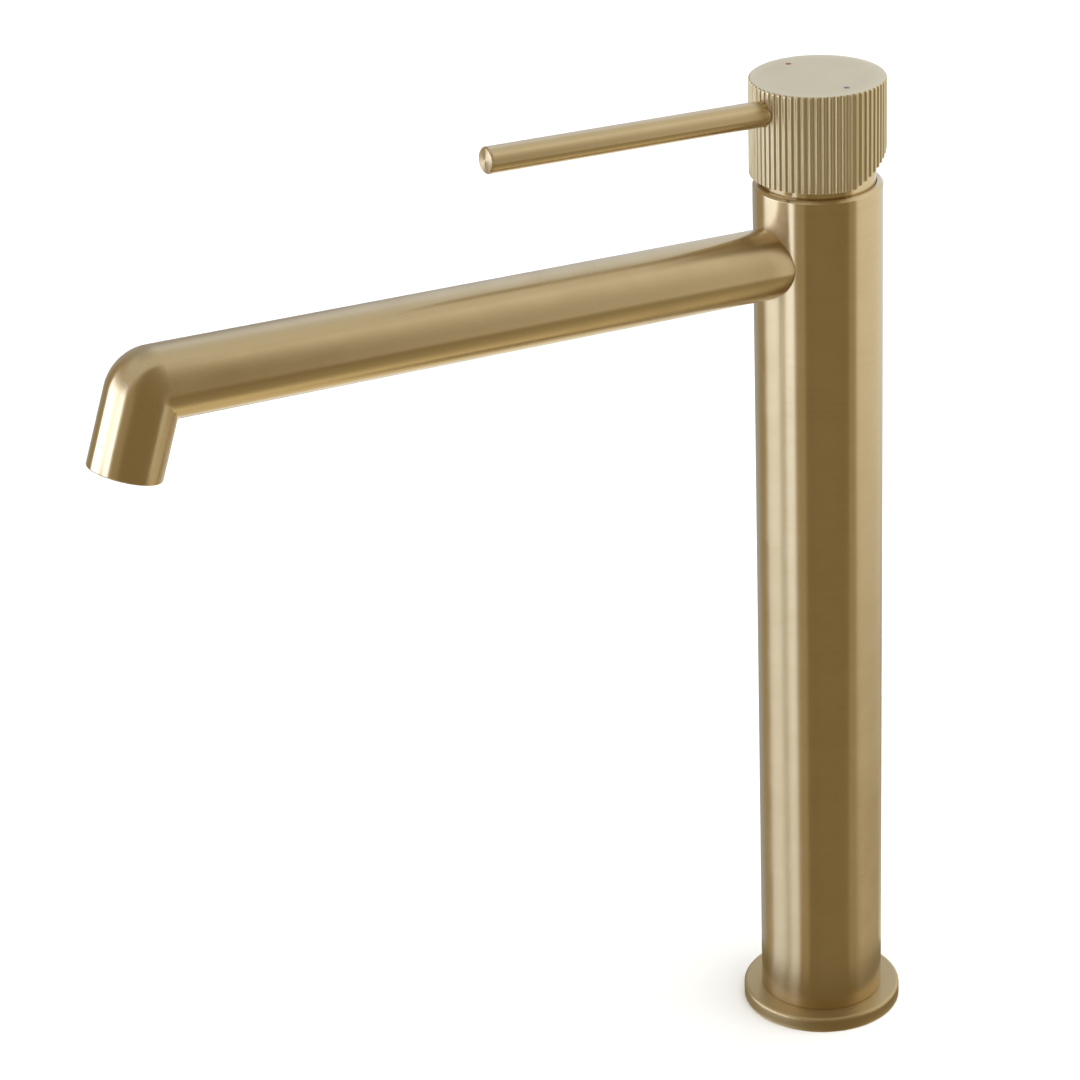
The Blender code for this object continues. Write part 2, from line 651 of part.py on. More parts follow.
def aerator():
    """The aerator in the outlet: ring, flow insert, screen and washer, from the mouth upwards."""
    radius = SPOUT_BORE - CLEARANCE
    ring_bore = radius - AERATOR_WALL
    lip_bore = ring_bore - AERATOR_WALL / 2
    place = {"location": NOZZLE_END, "turn": NOZZLE_TURN}
    profile = [
        (radius, AERATOR_LENGTH),
        (radius, 0.0),
        (lip_bore, 0.0),
        (lip_bore, AERATOR_LIP),
        (ring_bore, AERATOR_LIP),
        (ring_bore, AERATOR_LENGTH),
    ]
    housing = turned("aerator_housing", profile, "brushed_gold", SPOUT_SIDES, **place)
    insert_low = AERATOR_LIP + CLEARANCE
    insert_high = insert_low + INSERT_THICKNESS
    insert = cylinder("aerator_insert", ring_bore - CLEARANCE, insert_low, insert_high, "acetal",
                      SPOUT_SIDES, **place)
    for index in range(INSERT_HOLES):
        angle = 2 * math.pi * index / INSERT_HOLES
        across = INSERT_HOLE_RING * math.cos(angle)
        along = INSERT_HOLE_RING * math.sin(angle)
        centre = NOZZLE_END + Matrix.Rotation(NOZZLE_TURN, 3, "X") @ Vector((across, along, 0.0))
        cut(insert, cylinder("insert_hole_%d" % index, INSERT_HOLE_RADIUS, 0.0, AERATOR_LENGTH,
                             segments=HOLE_SEGMENTS, location=centre, turn=NOZZLE_TURN))
    screen_low = insert_high + CLEARANCE
    screen = cylinder("aerator_screen", ring_bore - CLEARANCE, screen_low,
                      screen_low + SCREEN_THICKNESS, "steel", SPOUT_SIDES, **place)
    washer_low = AERATOR_LENGTH + CLEARANCE
    washer = tube("aerator_washer", radius, lip_bore, washer_low, washer_low + WASHER_THICKNESS,
                  "rubber", SPOUT_SIDES, **place)
    return [housing, insert, screen, washer]


# ---------------------------------------------------------------- cartridge

def port_places(spread, radius):
    """Hot, cold and outlet ports of one layer: name, place and radius."""
    return [
        ("hot", (-spread, -INLET_FORWARD, 0.0), radius),
        ("cold", (spread, -INLET_FORWARD, 0.0), radius),
        ("outlet", (0.0, DISC_OUTLET_BACK, 0.0), DISC_OUTLET_RADIUS),
    ]


def cartridge_housing():
    """The cartridge's outer shell, with its lower flange, shoulder and neck."""
    top = PIVOT_HEIGHT + HOUSING_ABOVE_PIVOT
    profile = [
        (HOUSING_NECK_RADIUS, top),
        (HOUSING_NECK_RADIUS, HOUSING_SHOULDER_TOP),
        (HOUSING_RADIUS, HOUSING_SHOULDER_TOP),
        (HOUSING_RADIUS, HOUSING_FLANGE_TOP),
        (HOUSING_FLANGE_RADIUS, HOUSING_FLANGE_TOP),
        (HOUSING_FLANGE_RADIUS, BASE_BOTTOM),
        (CAVITY_RADIUS, BASE_BOTTOM),
        (CAVITY_RADIUS, ROTOR_FLANGE_TOP + CLEARANCE),
        (HOUSING_NECK_BORE, ROTOR_FLANGE_TOP + CLEARANCE),
        (HOUSING_NECK_BORE, top),
    ]
    return turned("cartridge_housing", profile, "acetal")


def cartridge_base():
    """The cartridge's lower plate, with a port and a seal groove for each waterway."""
    top = BASE_BOTTOM + BASE_THICKNESS
    piece = cylinder("cartridge_base", CAVITY_RADIUS - CLEARANCE, BASE_BOTTOM, top, "acetal",
                     FINE_SEGMENTS)
    pieces = [piece]
    groove_roof = CORE_FLOOR + CLEARANCE + SEAT_SEAL_HEIGHT + CLEARANCE
    for side, place, radius in port_places(BASE_INLET_SPREAD, BASE_INLET_RADIUS):
        seal_inner = radius + CLEARANCE
        seal_outer = seal_inner + SEAT_SEAL_WIDTH
        port = [
            (radius, top + CLEARANCE),
            (radius, groove_roof),
            (seal_outer + CLEARANCE, groove_roof),
            (seal_outer + CLEARANCE, BASE_BOTTOM - CLEARANCE),
        ]
        cut(piece, bore(side + "_base_port", port, place))
        pieces.append(tube(side + "_seat_seal", seal_outer, seal_inner, CORE_FLOOR + CLEARANCE,
                           CORE_FLOOR + CLEARANCE + SEAT_SEAL_HEIGHT, "rubber", location=place))
    return pieces


def fixed_disc():
    """The lower ceramic disc, which stays still."""
    top = FIXED_DISC_BOTTOM + FIXED_DISC_THICKNESS
    piece = cylinder("fixed_disc", CAVITY_RADIUS - CLEARANCE, FIXED_DISC_BOTTOM, top, "ceramic",
                     FINE_SEGMENTS)
    for side, place, radius in port_places(DISC_INLET_SPREAD, DISC_INLET_RADIUS):
        cut(piece, cylinder(side + "_disc_port", radius, FIXED_DISC_BOTTOM - CLEARANCE,
                            top + CLEARANCE, location=place))
    return piece


def moving_disc():
    """The upper ceramic disc, whose recess joins the inlets to the outlet when it slides forward."""
    top = MOVING_DISC_BOTTOM + MOVING_DISC_THICKNESS
    piece = cylinder("moving_disc", MOVING_DISC_RADIUS, MOVING_DISC_BOTTOM, top, "ceramic",
                     FINE_SEGMENTS, location=(0.0, DISC_OFFSET, 0.0))
    half_width = DISC_INLET_SPREAD + DISC_INLET_RADIUS / 2
    front = DISC_INLET_RADIUS - INLET_FORWARD + CLEARANCE
    back = DISC_OUTLET_BACK + DISC_OUTLET_RADIUS
    recess = box("mixing_recess", (-half_width, front, MOVING_DISC_BOTTOM - CLEARANCE),
                 (half_width, back, MOVING_DISC_BOTTOM + MIXING_RECESS_DEPTH))
    return cut(piece, recess)


def disc_carrier():
    """The slider above the moving disc, which the spindle's tip pushes to and fro."""
    half_width = CARRIER_WIDTH / 2
    half_length = CARRIER_LENGTH / 2
    top = ROTOR_BOTTOM + CARRIER_THICKNESS
    piece = box("disc_carrier", (-half_width, DISC_OFFSET - half_length, ROTOR_BOTTOM),
                (half_width, DISC_OFFSET + half_length, top), "acetal")
    pocket_width = SPINDLE_SIZE / 2 + CLEARANCE
    pocket_length = CARRIER_POCKET_LENGTH / 2
    pocket = box("carrier_pocket", (-pocket_width, -pocket_length, ROTOR_BOTTOM - CLEARANCE),
                 (pocket_width, pocket_length, top + CLEARANCE))
    return cut(piece, pocket)


def cartridge_rotor():
    """The turning core of the cartridge: flange, neck, spindle slot and the carrier's channel."""
    top = PIVOT_HEIGHT + ROTOR_ABOVE_PIVOT
    profile = [
        (0.0, top),
        (ROTOR_NECK_RADIUS, top),
        (ROTOR_NECK_RADIUS, ROTOR_FLANGE_TOP),
        (ROTOR_FLANGE_RADIUS, ROTOR_FLANGE_TOP),
        (ROTOR_FLANGE_RADIUS, ROTOR_BOTTOM),
        (0.0, ROTOR_BOTTOM),
    ]
    piece = turned("cartridge_rotor", profile, "acetal")
    slot_half = SPINDLE_SIZE / 2 + CLEARANCE
    slot = box("spindle_slot", (-slot_half, -SLOT_FRONT, ROTOR_BOTTOM - CLEARANCE),
               (slot_half, SLOT_BACK, top + CLEARANCE))
    channel_half = CARRIER_WIDTH / 2 + CLEARANCE
    channel = box("carrier_channel", (-channel_half, -2 * CAVITY_RADIUS, ROTOR_BOTTOM - CLEARANCE),
                  (channel_half, 2 * CAVITY_RADIUS, CHANNEL_ROOF))
    pin_hole = pivot_bar("rotor_pin_hole", PIN_RADIUS + PIN_CLEARANCE, 2 * ROTOR_NECK_RADIUS)
    for cutter in (slot, channel, pin_hole):
        cut(piece, cutter)
    return piece


def pivot_bar(name, radius, length, finish=None):
    """A round bar across the column on the lever's pivot line."""
    piece = cylinder(name, radius, -length / 2, length / 2, finish, PIN_SEGMENTS,
                     (0.0, 0.0, PIVOT_HEIGHT))
    piece.rotation_euler = (0.0, math.pi / 2, 0.0)
    return piece


def spindle_pin():
    """The steel pin that the spindle tilts on."""
    return pivot_bar("spindle_pin", PIN_RADIUS, 2 * (ROTOR_NECK_RADIUS - CLEARANCE), "steel")


def cartridge_nut():
    """The notched ring that holds the cartridge down in the core."""
    top = NUT_BOTTOM + NUT_HEIGHT
    piece = tube("cartridge_nut", NUT_RADIUS, NUT_RADIUS - NUT_WALL, NUT_BOTTOM, top, "raw_brass",
                 FINE_SEGMENTS)
    half = NUT_NOTCH_WIDTH / 2
    low = top - NUT_NOTCH_DEPTH
    high = top + CLEARANCE
    reach = 2 * NUT_RADIUS
    cut(piece, box("nut_notch_across", (-reach, -half, low), (reach, half, high)))
    return cut(piece, box("nut_notch_along", (-half, -reach, low), (half, reach, high)))


def neck_ring():
    """The polished cover ring between the column's rim and the knob."""
    bottom = CORE_TOP + CLEARANCE
    opening = HOUSING_NECK_RADIUS + HOUSING_NECK_GAP
    skirt_bore = HOUSING_RADIUS + NECK_GAP
    ceiling = HOUSING_SHOULDER_TOP + NECK_GAP
    profile = [
        (opening, NECK_TOP),
        (NECK_RADIUS - NECK_CHAMFER, NECK_TOP),
        (NECK_RADIUS, NECK_TOP - NECK_CHAMFER),
        (NECK_RADIUS, bottom),
        (skirt_bore, bottom),
        (skirt_bore, ceiling),
        (opening, ceiling),
    ]
    return turned("neck_ring", profile, "brushed_gold")


# ---------------------------------------------------------------- handle

def spindle():
    """The square spindle, narrowed at its lower tip, with the pin's hole across it."""
    half = SPINDLE_SIZE / 2
    tip = SPINDLE_TIP_SIZE / 2
    bottom = -SPINDLE_BELOW_PIVOT
    shoulder = bottom + SPINDLE_TIP_LENGTH
    outline = [
        (-half, SPINDLE_ABOVE_PIVOT),
        (-half, shoulder + (half - tip) / 2),
        (-tip, shoulder),
        (-tip, bottom),
        (tip, bottom),
        (tip, shoulder),
        (half, shoulder + (half - tip) / 2),
        (half, SPINDLE_ABOVE_PIVOT),
    ]
    piece = outline_solid("spindle", outline, SPINDLE_SIZE)
    piece.location = (0.0, 0.0, PIVOT_HEIGHT)
    piece.rotation_euler = (math.pi / 2, 0.0, math.pi / 2)
    link(piece, "raw_brass")
    return cut(piece, pivot_bar("spindle_pin_hole", PIN_RADIUS + PIN_CLEARANCE, 2 * SPINDLE_SIZE))


def fluted_outline():
    """The knob's outline: flat-topped ribs with flat-bottomed grooves between them."""
    groove = (0.0, 1.0, 1.0, 0.0)
    points = []
    for flute in range(FLUTE_COUNT):
        for step, depth in enumerate(groove):
            turn_share = flute + RIB_SHARE + (1 - RIB_SHARE) * step / (len(groove) - 1)
            angle = 2 * math.pi * turn_share / FLUTE_COUNT
            radius = KNOB_RADIUS - FLUTE_DEPTH * depth
            points.append((radius * math.cos(angle), radius * math.sin(angle)))
    return points


def handle_knob():
    """The fluted knob: a cap with a hub inside and a sloping cut under its rear half."""
    piece = outline_solid("handle_knob", fluted_outline(), KNOB_HEIGHT)
    piece.location = (0.0, 0.0, KNOB_BOTTOM + KNOB_HEIGHT / 2)
    link(piece, "brushed_gold")
    below = KNOB_BOTTOM - KNOB_GAP
    roof = KNOB_TOP - KNOB_ROOF
    hollow = [(0.0, HUB_BOTTOM), (HUB_RADIUS, HUB_BOTTOM), (HUB_RADIUS, roof), (KNOB_BORE, roof),
              (KNOB_BORE, below), (0.0, below)]
    cut(piece, turned("knob_hollow", hollow))
    reach = 3 * KNOB_RADIUS
    undercut = box("knob_undercut", (-reach, 0.0, -reach), (reach, reach, 0.0),
                   location=(0.0, -UNDERCUT_START, KNOB_BOTTOM), turn=LIFT_ANGLE)
    cut(piece, undercut)
    half = SPINDLE_SIZE / 2 + CLEARANCE
    spindle_top = PIVOT_HEIGHT + SPINDLE_ABOVE_PIVOT + CLEARANCE
    cut(piece, box("spindle_bore", (-half, -half, below), (half, half, spindle_top)))
    cut(piece, cylinder("lever_hole", LEVER_RADIUS + CLEARANCE, LEVER_START - CLEARANCE,
                        2 * KNOB_RADIUS, location=(0.0, 0.0, LEVER_HEIGHT), turn=LEVER_TURN))
    grub_hole = cylinder("grub_hole", GRUB_RADIUS + CLEARANCE, SPINDLE_SIZE / 2 - CLEARANCE,
                         HUB_RADIUS + CLEARANCE, location=(0.0, 0.0, HUB_BOTTOM + GRUB_ABOVE_HUB),
                         turn=-math.pi / 2)
    cut(piece, grub_hole)
    for side, x in index_places():
        cut(piece, cylinder(side + "_index_hole", INDEX_RADIUS + PIN_CLEARANCE,
                            KNOB_TOP - INDEX_DEPTH, KNOB_TOP + CLEARANCE,
                            segments=DOT_SEGMENTS, location=(x, 0.0, 0.0)))
    return piece


def index_places():
    """The hot and cold dots: name and place across the knob."""
    offset = KNOB_RADIUS - INDEX_INSET
    return [("hot", -offset), ("cold", offset)]


def index_dots():
    """The red and blue dots let into the knob's top."""
    low = KNOB_TOP - INDEX_DEPTH + PIN_CLEARANCE
    return [
        cylinder(side + "_index", INDEX_RADIUS, low, KNOB_TOP, side + "_enamel", DOT_SEGMENTS,
                 (x, 0.0, 0.0))
        for side, x in index_places()
    ]


def lever_rod():
    """The round lever, screwed into the knob's hub."""
    profile = [
        (0.0, LEVER_LENGTH),
        (LEVER_RADIUS - LEVER_CHAMFER, LEVER_LENGTH),
        (LEVER_RADIUS, LEVER_LENGTH - LEVER_CHAMFER),
        (LEVER_RADIUS, LEVER_START),
        (0.0, LEVER_START),
    ]
    return turned("lever_rod", profile, "brushed_gold", PIN_SEGMENTS, (0.0, 0.0, LEVER_HEIGHT),
                  LEVER_TURN)


def grub_screw():
    """The socket screw at the hub's back that clamps the knob to the spindle."""
    inner = SPINDLE_SIZE / 2 + CLEARANCE
    outer = HUB_RADIUS - CLEARANCE
    place = {"location": (0.0, 0.0, HUB_BOTTOM + GRUB_ABOVE_HUB), "turn": -math.pi / 2}
    piece = cylinder("grub_screw", GRUB_RADIUS, inner, outer, "steel", **place)
    socket = cylinder("grub_socket", GRUB_SOCKET_RADIUS, outer - GRUB_SOCKET_DEPTH,
                      outer + CLEARANCE, segments=HEX_SIDES, **place)
    return cut(piece, socket)


# ---------------------------------------------------------------- assembly

def build():
    """Build every piece and hang the moving ones on their joints' axes."""
    column_tube()
    base_flange()
    base_gasket()
    inlet_block()
    column_seal()
    risers()
    valve_core()
    spout_fixing()
    spout_tube()
    aerator()
    cartridge_housing()
    cartridge_base()
    fixed_disc()
    cartridge_nut()
    neck_ring()

    turning = joint_axis("temperature_axis", (0.0, 0.0, PIVOT_HEIGHT))
    ride(turning, [cartridge_rotor(), spindle_pin()])
    sliding = joint_axis("disc_slide_axis", (0.0, 0.0, PIVOT_HEIGHT - SPINDLE_ARM))
    ride(sliding, [moving_disc(), disc_carrier()])
    lifting = joint_axis("lever_axis", (0.0, 0.0, PIVOT_HEIGHT))
    ride(lifting, [spindle(), handle_knob(), lever_rod(), grub_screw(), *index_dots()])
    ride(turning, [sliding, lifting])


build()
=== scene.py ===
import json
import math

import bmesh
import bpy
import numpy as np
from mathutils import Matrix, Vector


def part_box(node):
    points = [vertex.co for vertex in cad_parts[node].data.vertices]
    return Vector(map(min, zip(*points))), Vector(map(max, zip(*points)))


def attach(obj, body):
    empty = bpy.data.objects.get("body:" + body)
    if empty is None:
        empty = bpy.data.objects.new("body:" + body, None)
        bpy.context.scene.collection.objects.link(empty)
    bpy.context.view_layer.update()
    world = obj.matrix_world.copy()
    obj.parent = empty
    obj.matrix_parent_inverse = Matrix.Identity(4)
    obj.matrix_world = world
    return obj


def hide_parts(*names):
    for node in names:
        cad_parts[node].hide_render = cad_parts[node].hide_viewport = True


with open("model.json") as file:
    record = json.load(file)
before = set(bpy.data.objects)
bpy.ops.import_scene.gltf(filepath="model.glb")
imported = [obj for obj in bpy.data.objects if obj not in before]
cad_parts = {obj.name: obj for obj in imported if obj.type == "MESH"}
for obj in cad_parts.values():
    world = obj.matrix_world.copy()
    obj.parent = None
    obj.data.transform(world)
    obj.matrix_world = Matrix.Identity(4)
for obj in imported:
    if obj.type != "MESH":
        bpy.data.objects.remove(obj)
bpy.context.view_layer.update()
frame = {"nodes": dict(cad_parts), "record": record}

# ---------------------------------------------------------------- sizes, in metres

MM = 0.001
SIDES = 128                    # sides of the large turned shells
LEVER_SIDES = 96               # sides of the lever and of the aerator's pieces
CUTTER_SIDES = 64              # sides of the round cutters
DOT_SIDES = 32                 # sides of the index dots
ARC_STEPS = 6                  # steps in a rounded edge
CREASE_ANGLE = math.radians(32)  # sharper edges aren't shaded smooth
SAME_PLACE = 0.001 * MM        # points closer than this are one point
ON_AXIS = 0.0001 * MM          # a smaller radius is a point on the axis
CUT_MARGIN = 1.0 * MM          # how far a cutter reaches past the surface it opens
FIT = 0.05 * MM                # gap between visible pieces that seat on each other

COLUMN_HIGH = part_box("column_tube")[1]
COLUMN_RADIUS = COLUMN_HIGH.x
COLUMN_WALL = 2.0 * MM
COLUMN_BORE = COLUMN_RADIUS - COLUMN_WALL
COLUMN_HOLE_RADIUS = 6.3 * MM  # the hole behind the spout, for the nipple
RIM_HEIGHT = COLUMN_HIGH.z
RIM_CHAMFER = 0.9 * MM

FLANGE_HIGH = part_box("base_flange")[1]
FLANGE_EDGE = 1.1 * MM         # rounding of its upper rim
FLANGE_FOOT_EDGE = 0.25 * MM   # rounding where it meets the deck
GASKET_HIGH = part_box("base_gasket")[1]
GASKET_WIDTH = 4.0 * MM        # across the rubber ring, from its inner to its outer edge
GASKET_GAP = 0.3 * MM          # between the gasket and its groove

SPOUT_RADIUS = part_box("spout_tube")[1].x
SPOUT_WALL = 1.5 * MM
SPOUT_RISE = math.radians(4.0)
SPOUT_CENTRE = Vector((0.0, 0.0, RIM_HEIGHT - 24.1 * MM))
SPOUT_LENGTH = 231.6 * MM      # column's axis to the corner, along the spout's axis
ELBOW_OUTER_RADIUS = 14.5 * MM
ELBOW_INNER_RADIUS = 0.8 * MM
NOZZLE_TILT = math.radians(19.5)
NOZZLE_LENGTH = 25.9 * MM      # corner to the outlet
SPOUT_STEPS = 24               # rings of points along the straight part
ELBOW_STEPS = 32               # along the elbow
NOZZLE_STEPS = 4               # along the nozzle
SPOUT_EDGE = 0.35 * MM         # rounding of the end that meets the column
NOZZLE_EDGE = 0.55 * MM        # rounding of the outlet's rim
NOZZLE_LIP = 0.25 * MM         # bevel inside the rim

KNOB_LOW, KNOB_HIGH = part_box("handle_knob")
KNOB_RADIUS = KNOB_HIGH.x
KNOB_WALL = 2.3 * MM
KNOB_ROOF = 3.0 * MM
KNOB_TOP_EDGE = 0.75 * MM
KNOB_LOWER_EDGE = 0.20 * MM
KNOB_RINGS = 8                 # rings of points up its side
KNOB_TOP_RINGS = 6             # rings of points across its flat top
FLUTE_COUNT = 64
FLUTE_DEPTH = 0.45 * MM
FLUTE_STEPS = 16               # points across one flute
RIB_SHARE = 0.52               # a rib's share of one flute's turn
FLANK_SHARE = 0.30             # a flank's share, between the rib and the groove
UNDERCUT_ANGLE = math.radians(24.0)
UNDERCUT_START = 1.9 * MM      # in front of the column's axis
HUB_RADIUS = 7.5 * MM
HUB_BOTTOM = KNOB_LOW.z + 5.1 * MM
HUB_FILLET = 0.8 * MM          # where the hub meets the roof
ROOF_FILLET = 1.2 * MM         # where the wall meets the roof
SOCKET_HALF = 3.8 * MM         # half the width of the square hole for the spindle
SOCKET_TOP = KNOB_LOW.z + 16.9 * MM

LEVER_RADIUS = 4.0 * MM
LEVER_RISE = math.radians(4.0)
LEVER_CENTRE = Vector((0.0, 0.0, KNOB_HIGH.z - 9.1 * MM))
LEVER_START = 1.0 * MM
LEVER_LENGTH = 118.4 * MM
LEVER_CHAMFER = 0.5 * MM

NECK_LOW, NECK_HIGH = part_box("neck_ring")
NECK_RADIUS = COLUMN_BORE - 0.15 * MM
NECK_OPENING = 12.0 * MM       # radius of the hole for the spindle
NECK_WALL = 2.6 * MM
NECK_ROOF = 3.2 * MM
NECK_CHAMFER = 0.7 * MM

DOT_LOW, DOT_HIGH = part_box("cold_index")
DOT_OFFSET = (DOT_LOW.x + DOT_HIGH.x) / 2
DOT_RADIUS = DOT_HIGH.x - DOT_OFFSET
DOT_HOLE_RADIUS = 0.9 * MM
DOT_HOLE_DEPTH = 1.2 * MM

AERATOR_HEIGHT = 8.0 * MM
AERATOR_WALL = 1.2 * MM
AERATOR_LIP = 1.8 * MM         # thickness of the ring at its mouth
AERATOR_MOUTH = 1.0 * MM       # height of that lip
GRID_PITCH = 1.5 * MM          # from one hexagonal cell to the next
GRID_CELL = 0.72 * MM          # a cell's middle to its corner
GRID_RIM = 1.0 * MM            # no cell has its middle closer to the plate's edge
GRID_THICKNESS = 4.0 * MM
GRID_RECESS = 1.3 * MM         # the plate's lower face above the outlet

# ---------------------------------------------------------------- mesh helpers

BRUSH = "brush"                # attribute: the point's place on the straightened, unrolled piece
EDGE = "edge"                  # attribute: 1 on a rounded edge, 0 on a face
AROUND = "around"              # UV map whose U runs round the spout


def rounded_profile(corners):
    """Profile points with arcs at its corners, from (radius, height, rounding) corners.

    Returns the points and, for each, how far it is on a rounded edge, from 0 to 1.
    """
    points = []
    edges = []
    count = len(corners)
    for index, (radius, height, rounding) in enumerate(corners):
        here = Vector((radius, height))
        if rounding <= 0.0:
            points.append(here)
            edges.append(0.0)
            continue
        before = Vector(corners[index - 1][:2]) - here
        after = Vector(corners[(index + 1) % count][:2]) - here
        before.normalize()
        after.normalize()
        half = before.angle(after) / 2
        reach = rounding / math.tan(half)
        centre = here + (before + after).normalized() * (rounding / math.sin(half))
        start = here + before * reach - centre
        end = here + after * reach - centre
        for step in range(ARC_STEPS + 1):
            share = step / ARC_STEPS
            spoke = start.lerp(end, share).normalized() * rounding
            points.append(centre + spoke)
            edges.append(1.0 if 0 < step < ARC_STEPS else 0.5)
    return points, edges


def new_object(name, vertices, faces, brush, edge):
    """An object in the scene with the two surface attributes and crisp but smooth shading."""
    mesh = bpy.data.meshes.new(name)
    mesh.from_pydata(vertices, [], faces)
    mesh.attributes.new(BRUSH, "FLOAT_VECTOR", "POINT").data.foreach_set(
        "vector", np.array(brush, np.float32).ravel())
    mesh.attributes.new(EDGE, "FLOAT", "POINT").data.foreach_set("value", np.array(edge, np.float32))
    mesh.update()
    obj = bpy.data.objects.new(name, mesh)
    bpy.context.scene.collection.objects.link(obj)
    smooth(obj)
    return obj


def smooth(obj):
    """Smooth shading, but for sharp edges."""
    obj.data.shade_smooth()
    obj.data.set_sharp_from_angle(angle=CREASE_ANGLE)


def revolve(name, corners, sides=SIDES, place=None):
    """Turn a closed profile of (radius, height, rounding) corners about Z.

    The profile runs down the outer side. Corners on the axis close to a single point.
    """
    points, edges = rounded_profile(corners)
    lengths = [0.0]
    for first, second in zip(points, points[1:]):
        lengths.append(lengths[-1] + (second - first).length)
    vertices, brush, edge, rings = [], [], [], []
    for (radius, height), length, sharp in zip(points, lengths, edges):
        on_axis = radius < ON_AXIS
        start = len(vertices)
        for side in range(1 if on_axis else sides):
            angle = 2 * math.pi * side / sides
            x = radius * math.cos(angle)
            y = radius * math.sin(angle)
            vertices.append((x, y, height))
            brush.append((x, y, -length))
            edge.append(sharp)
        rings.append((start, on_axis))
    faces = []
    for (low, low_axis), (high, high_axis) in zip(rings, rings[1:] + rings[:1]):
        if low_axis and high_axis:
            continue
        for side in range(sides):
            after = (side + 1) % sides
            if low_axis:
                faces.append((low, high + side, high + after))
            elif high_axis:
                faces.append((low + side, high, low + after))
            else:
                faces.append((low + side, high + side, high + after, low + after))
    obj = new_object(name, vertices, faces, brush, edge)
    if place is not None:
        obj.matrix_world = place
    return obj


def axis_place(origin, direction):
    """The placement that turns a piece's own Z axis onto a direction in the middle plane."""
    turn = math.atan2(-direction.y, direction.z)
    return Matrix.Translation(origin) @ Matrix.Rotation(turn, 4, "X")


def cut(piece, *cutters):
    """Take the cutters' shapes out of a piece and drop them."""
    bpy.context.view_layer.update()
    for cutter in cutters:
        boolean = piece.modifiers.new(cutter.name, "BOOLEAN")
        boolean.operation = "DIFFERENCE"
        boolean.solver = "EXACT"
        boolean.object = cutter
    graph = bpy.context.evaluated_depsgraph_get()
    mesh = bpy.data.meshes.new_from_object(piece.evaluated_get(graph))
    piece.modifiers.clear()
    piece.data = mesh
    for cutter in cutters:
        bpy.data.objects.remove(cutter, do_unlink=True)
    smooth(piece)
    return piece


def block(name, low, high, place=None):
    """A plain box, used as a cutter and as a card."""
    x0, y0, z0 = low
    x1, y1, z1 = high
    corners = [(x0, y0, z0), (x1, y0, z0), (x1, y1, z0), (x0, y1, z0),
               (x0, y0, z1), (x1, y0, z1), (x1, y1, z1), (x0, y1, z1)]
    faces = [(3, 2, 1, 0), (4, 5, 6, 7), (0, 1, 5, 4), (1, 2, 6, 5), (2, 3, 7, 6), (3, 0, 4, 7)]
    obj = new_object(name, corners, faces, corners, [0.0] * len(corners))
    if place is not None:
        obj.matrix_world = place
    return obj


def bar(name, radius, low, high, place=None, sides=CUTTER_SIDES):
    """A plain round bar, used as a cutter and as the floor."""
    profile = [(0.0, high, 0.0), (radius, high, 0.0), (radius, low, 0.0), (0.0, low, 0.0)]
    return revolve(name, profile, sides, place)


# ---------------------------------------------------------------- directions and places

SPOUT_DIRECTION = Vector((0.0, -math.cos(SPOUT_RISE), math.sin(SPOUT_RISE)))
SPOUT_UP = Vector((0.0, math.sin(SPOUT_RISE), math.cos(SPOUT_RISE)))
SPOUT_PLACE = axis_place(SPOUT_CENTRE, SPOUT_DIRECTION)
SPOUT_CORNER = SPOUT_CENTRE + SPOUT_DIRECTION * SPOUT_LENGTH

NOZZLE_DIRECTION = Vector((0.0, -math.sin(NOZZLE_TILT), -math.cos(NOZZLE_TILT)))
NOZZLE_END = SPOUT_CORNER + NOZZLE_DIRECTION * NOZZLE_LENGTH
NOZZLE_PLACE = Matrix.Translation(NOZZLE_END) @ Matrix.Rotation(-NOZZLE_TILT, 4, "X")

LEVER_DIRECTION = Vector((0.0, -math.cos(LEVER_RISE), math.sin(LEVER_RISE)))
LEVER_PLACE = axis_place(LEVER_CENTRE, LEVER_DIRECTION)

# ---------------------------------------------------------------- outer shells

def column():
    """The column tube with its chamfered rim and the hole behind the spout."""
    bottom = FLANGE_HIGH.z + FIT
    piece = revolve("column_shell", [
        (COLUMN_RADIUS - RIM_CHAMFER, RIM_HEIGHT, 0.12 * MM),
        (COLUMN_RADIUS, RIM_HEIGHT - RIM_CHAMFER, 0.25 * MM),
        (COLUMN_RADIUS, bottom, 0.15 * MM),
        (COLUMN_BORE, bottom, 0.0),
        (COLUMN_BORE, RIM_HEIGHT, 0.15 * MM),
    ])
    hole = bar("column_hole", COLUMN_HOLE_RADIUS, COLUMN_BORE / 2, 1.5 * COLUMN_RADIUS, SPOUT_PLACE)
    return cut(piece, hole)


def flange():
    """The round base flange with its rounded edge and the gasket's groove underneath."""
    radius = FLANGE_HIGH.x
    height = FLANGE_HIGH.z
    groove_outer = GASKET_HIGH.x + GASKET_GAP
    groove_inner = GASKET_HIGH.x - GASKET_WIDTH - GASKET_GAP
    groove_roof = GASKET_HIGH.z + GASKET_GAP
    return revolve("flange_shell", [
        (radius, height, FLANGE_EDGE),
        (radius, 0.0, FLANGE_FOOT_EDGE),
        (groove_outer, 0.0, 0.0),
        (groove_outer, groove_roof, 0.0),
        (groove_inner, groove_roof, 0.0),
        (groove_inner, 0.0, 0.0),
        (COLUMN_BORE, 0.0, 0.0),
        (COLUMN_BORE, height, 0.0),
    ])


def cope_distance(radius, angle):
    """How far along the spout's axis a line on its surface leaves the column's round side."""
    x = radius * math.cos(angle)
    lift = radius * math.sin(angle)
    depth = math.sqrt((COLUMN_RADIUS + FIT) ** 2 - x * x)
    return (depth - lift * math.sin(SPOUT_RISE)) / math.cos(SPOUT_RISE)


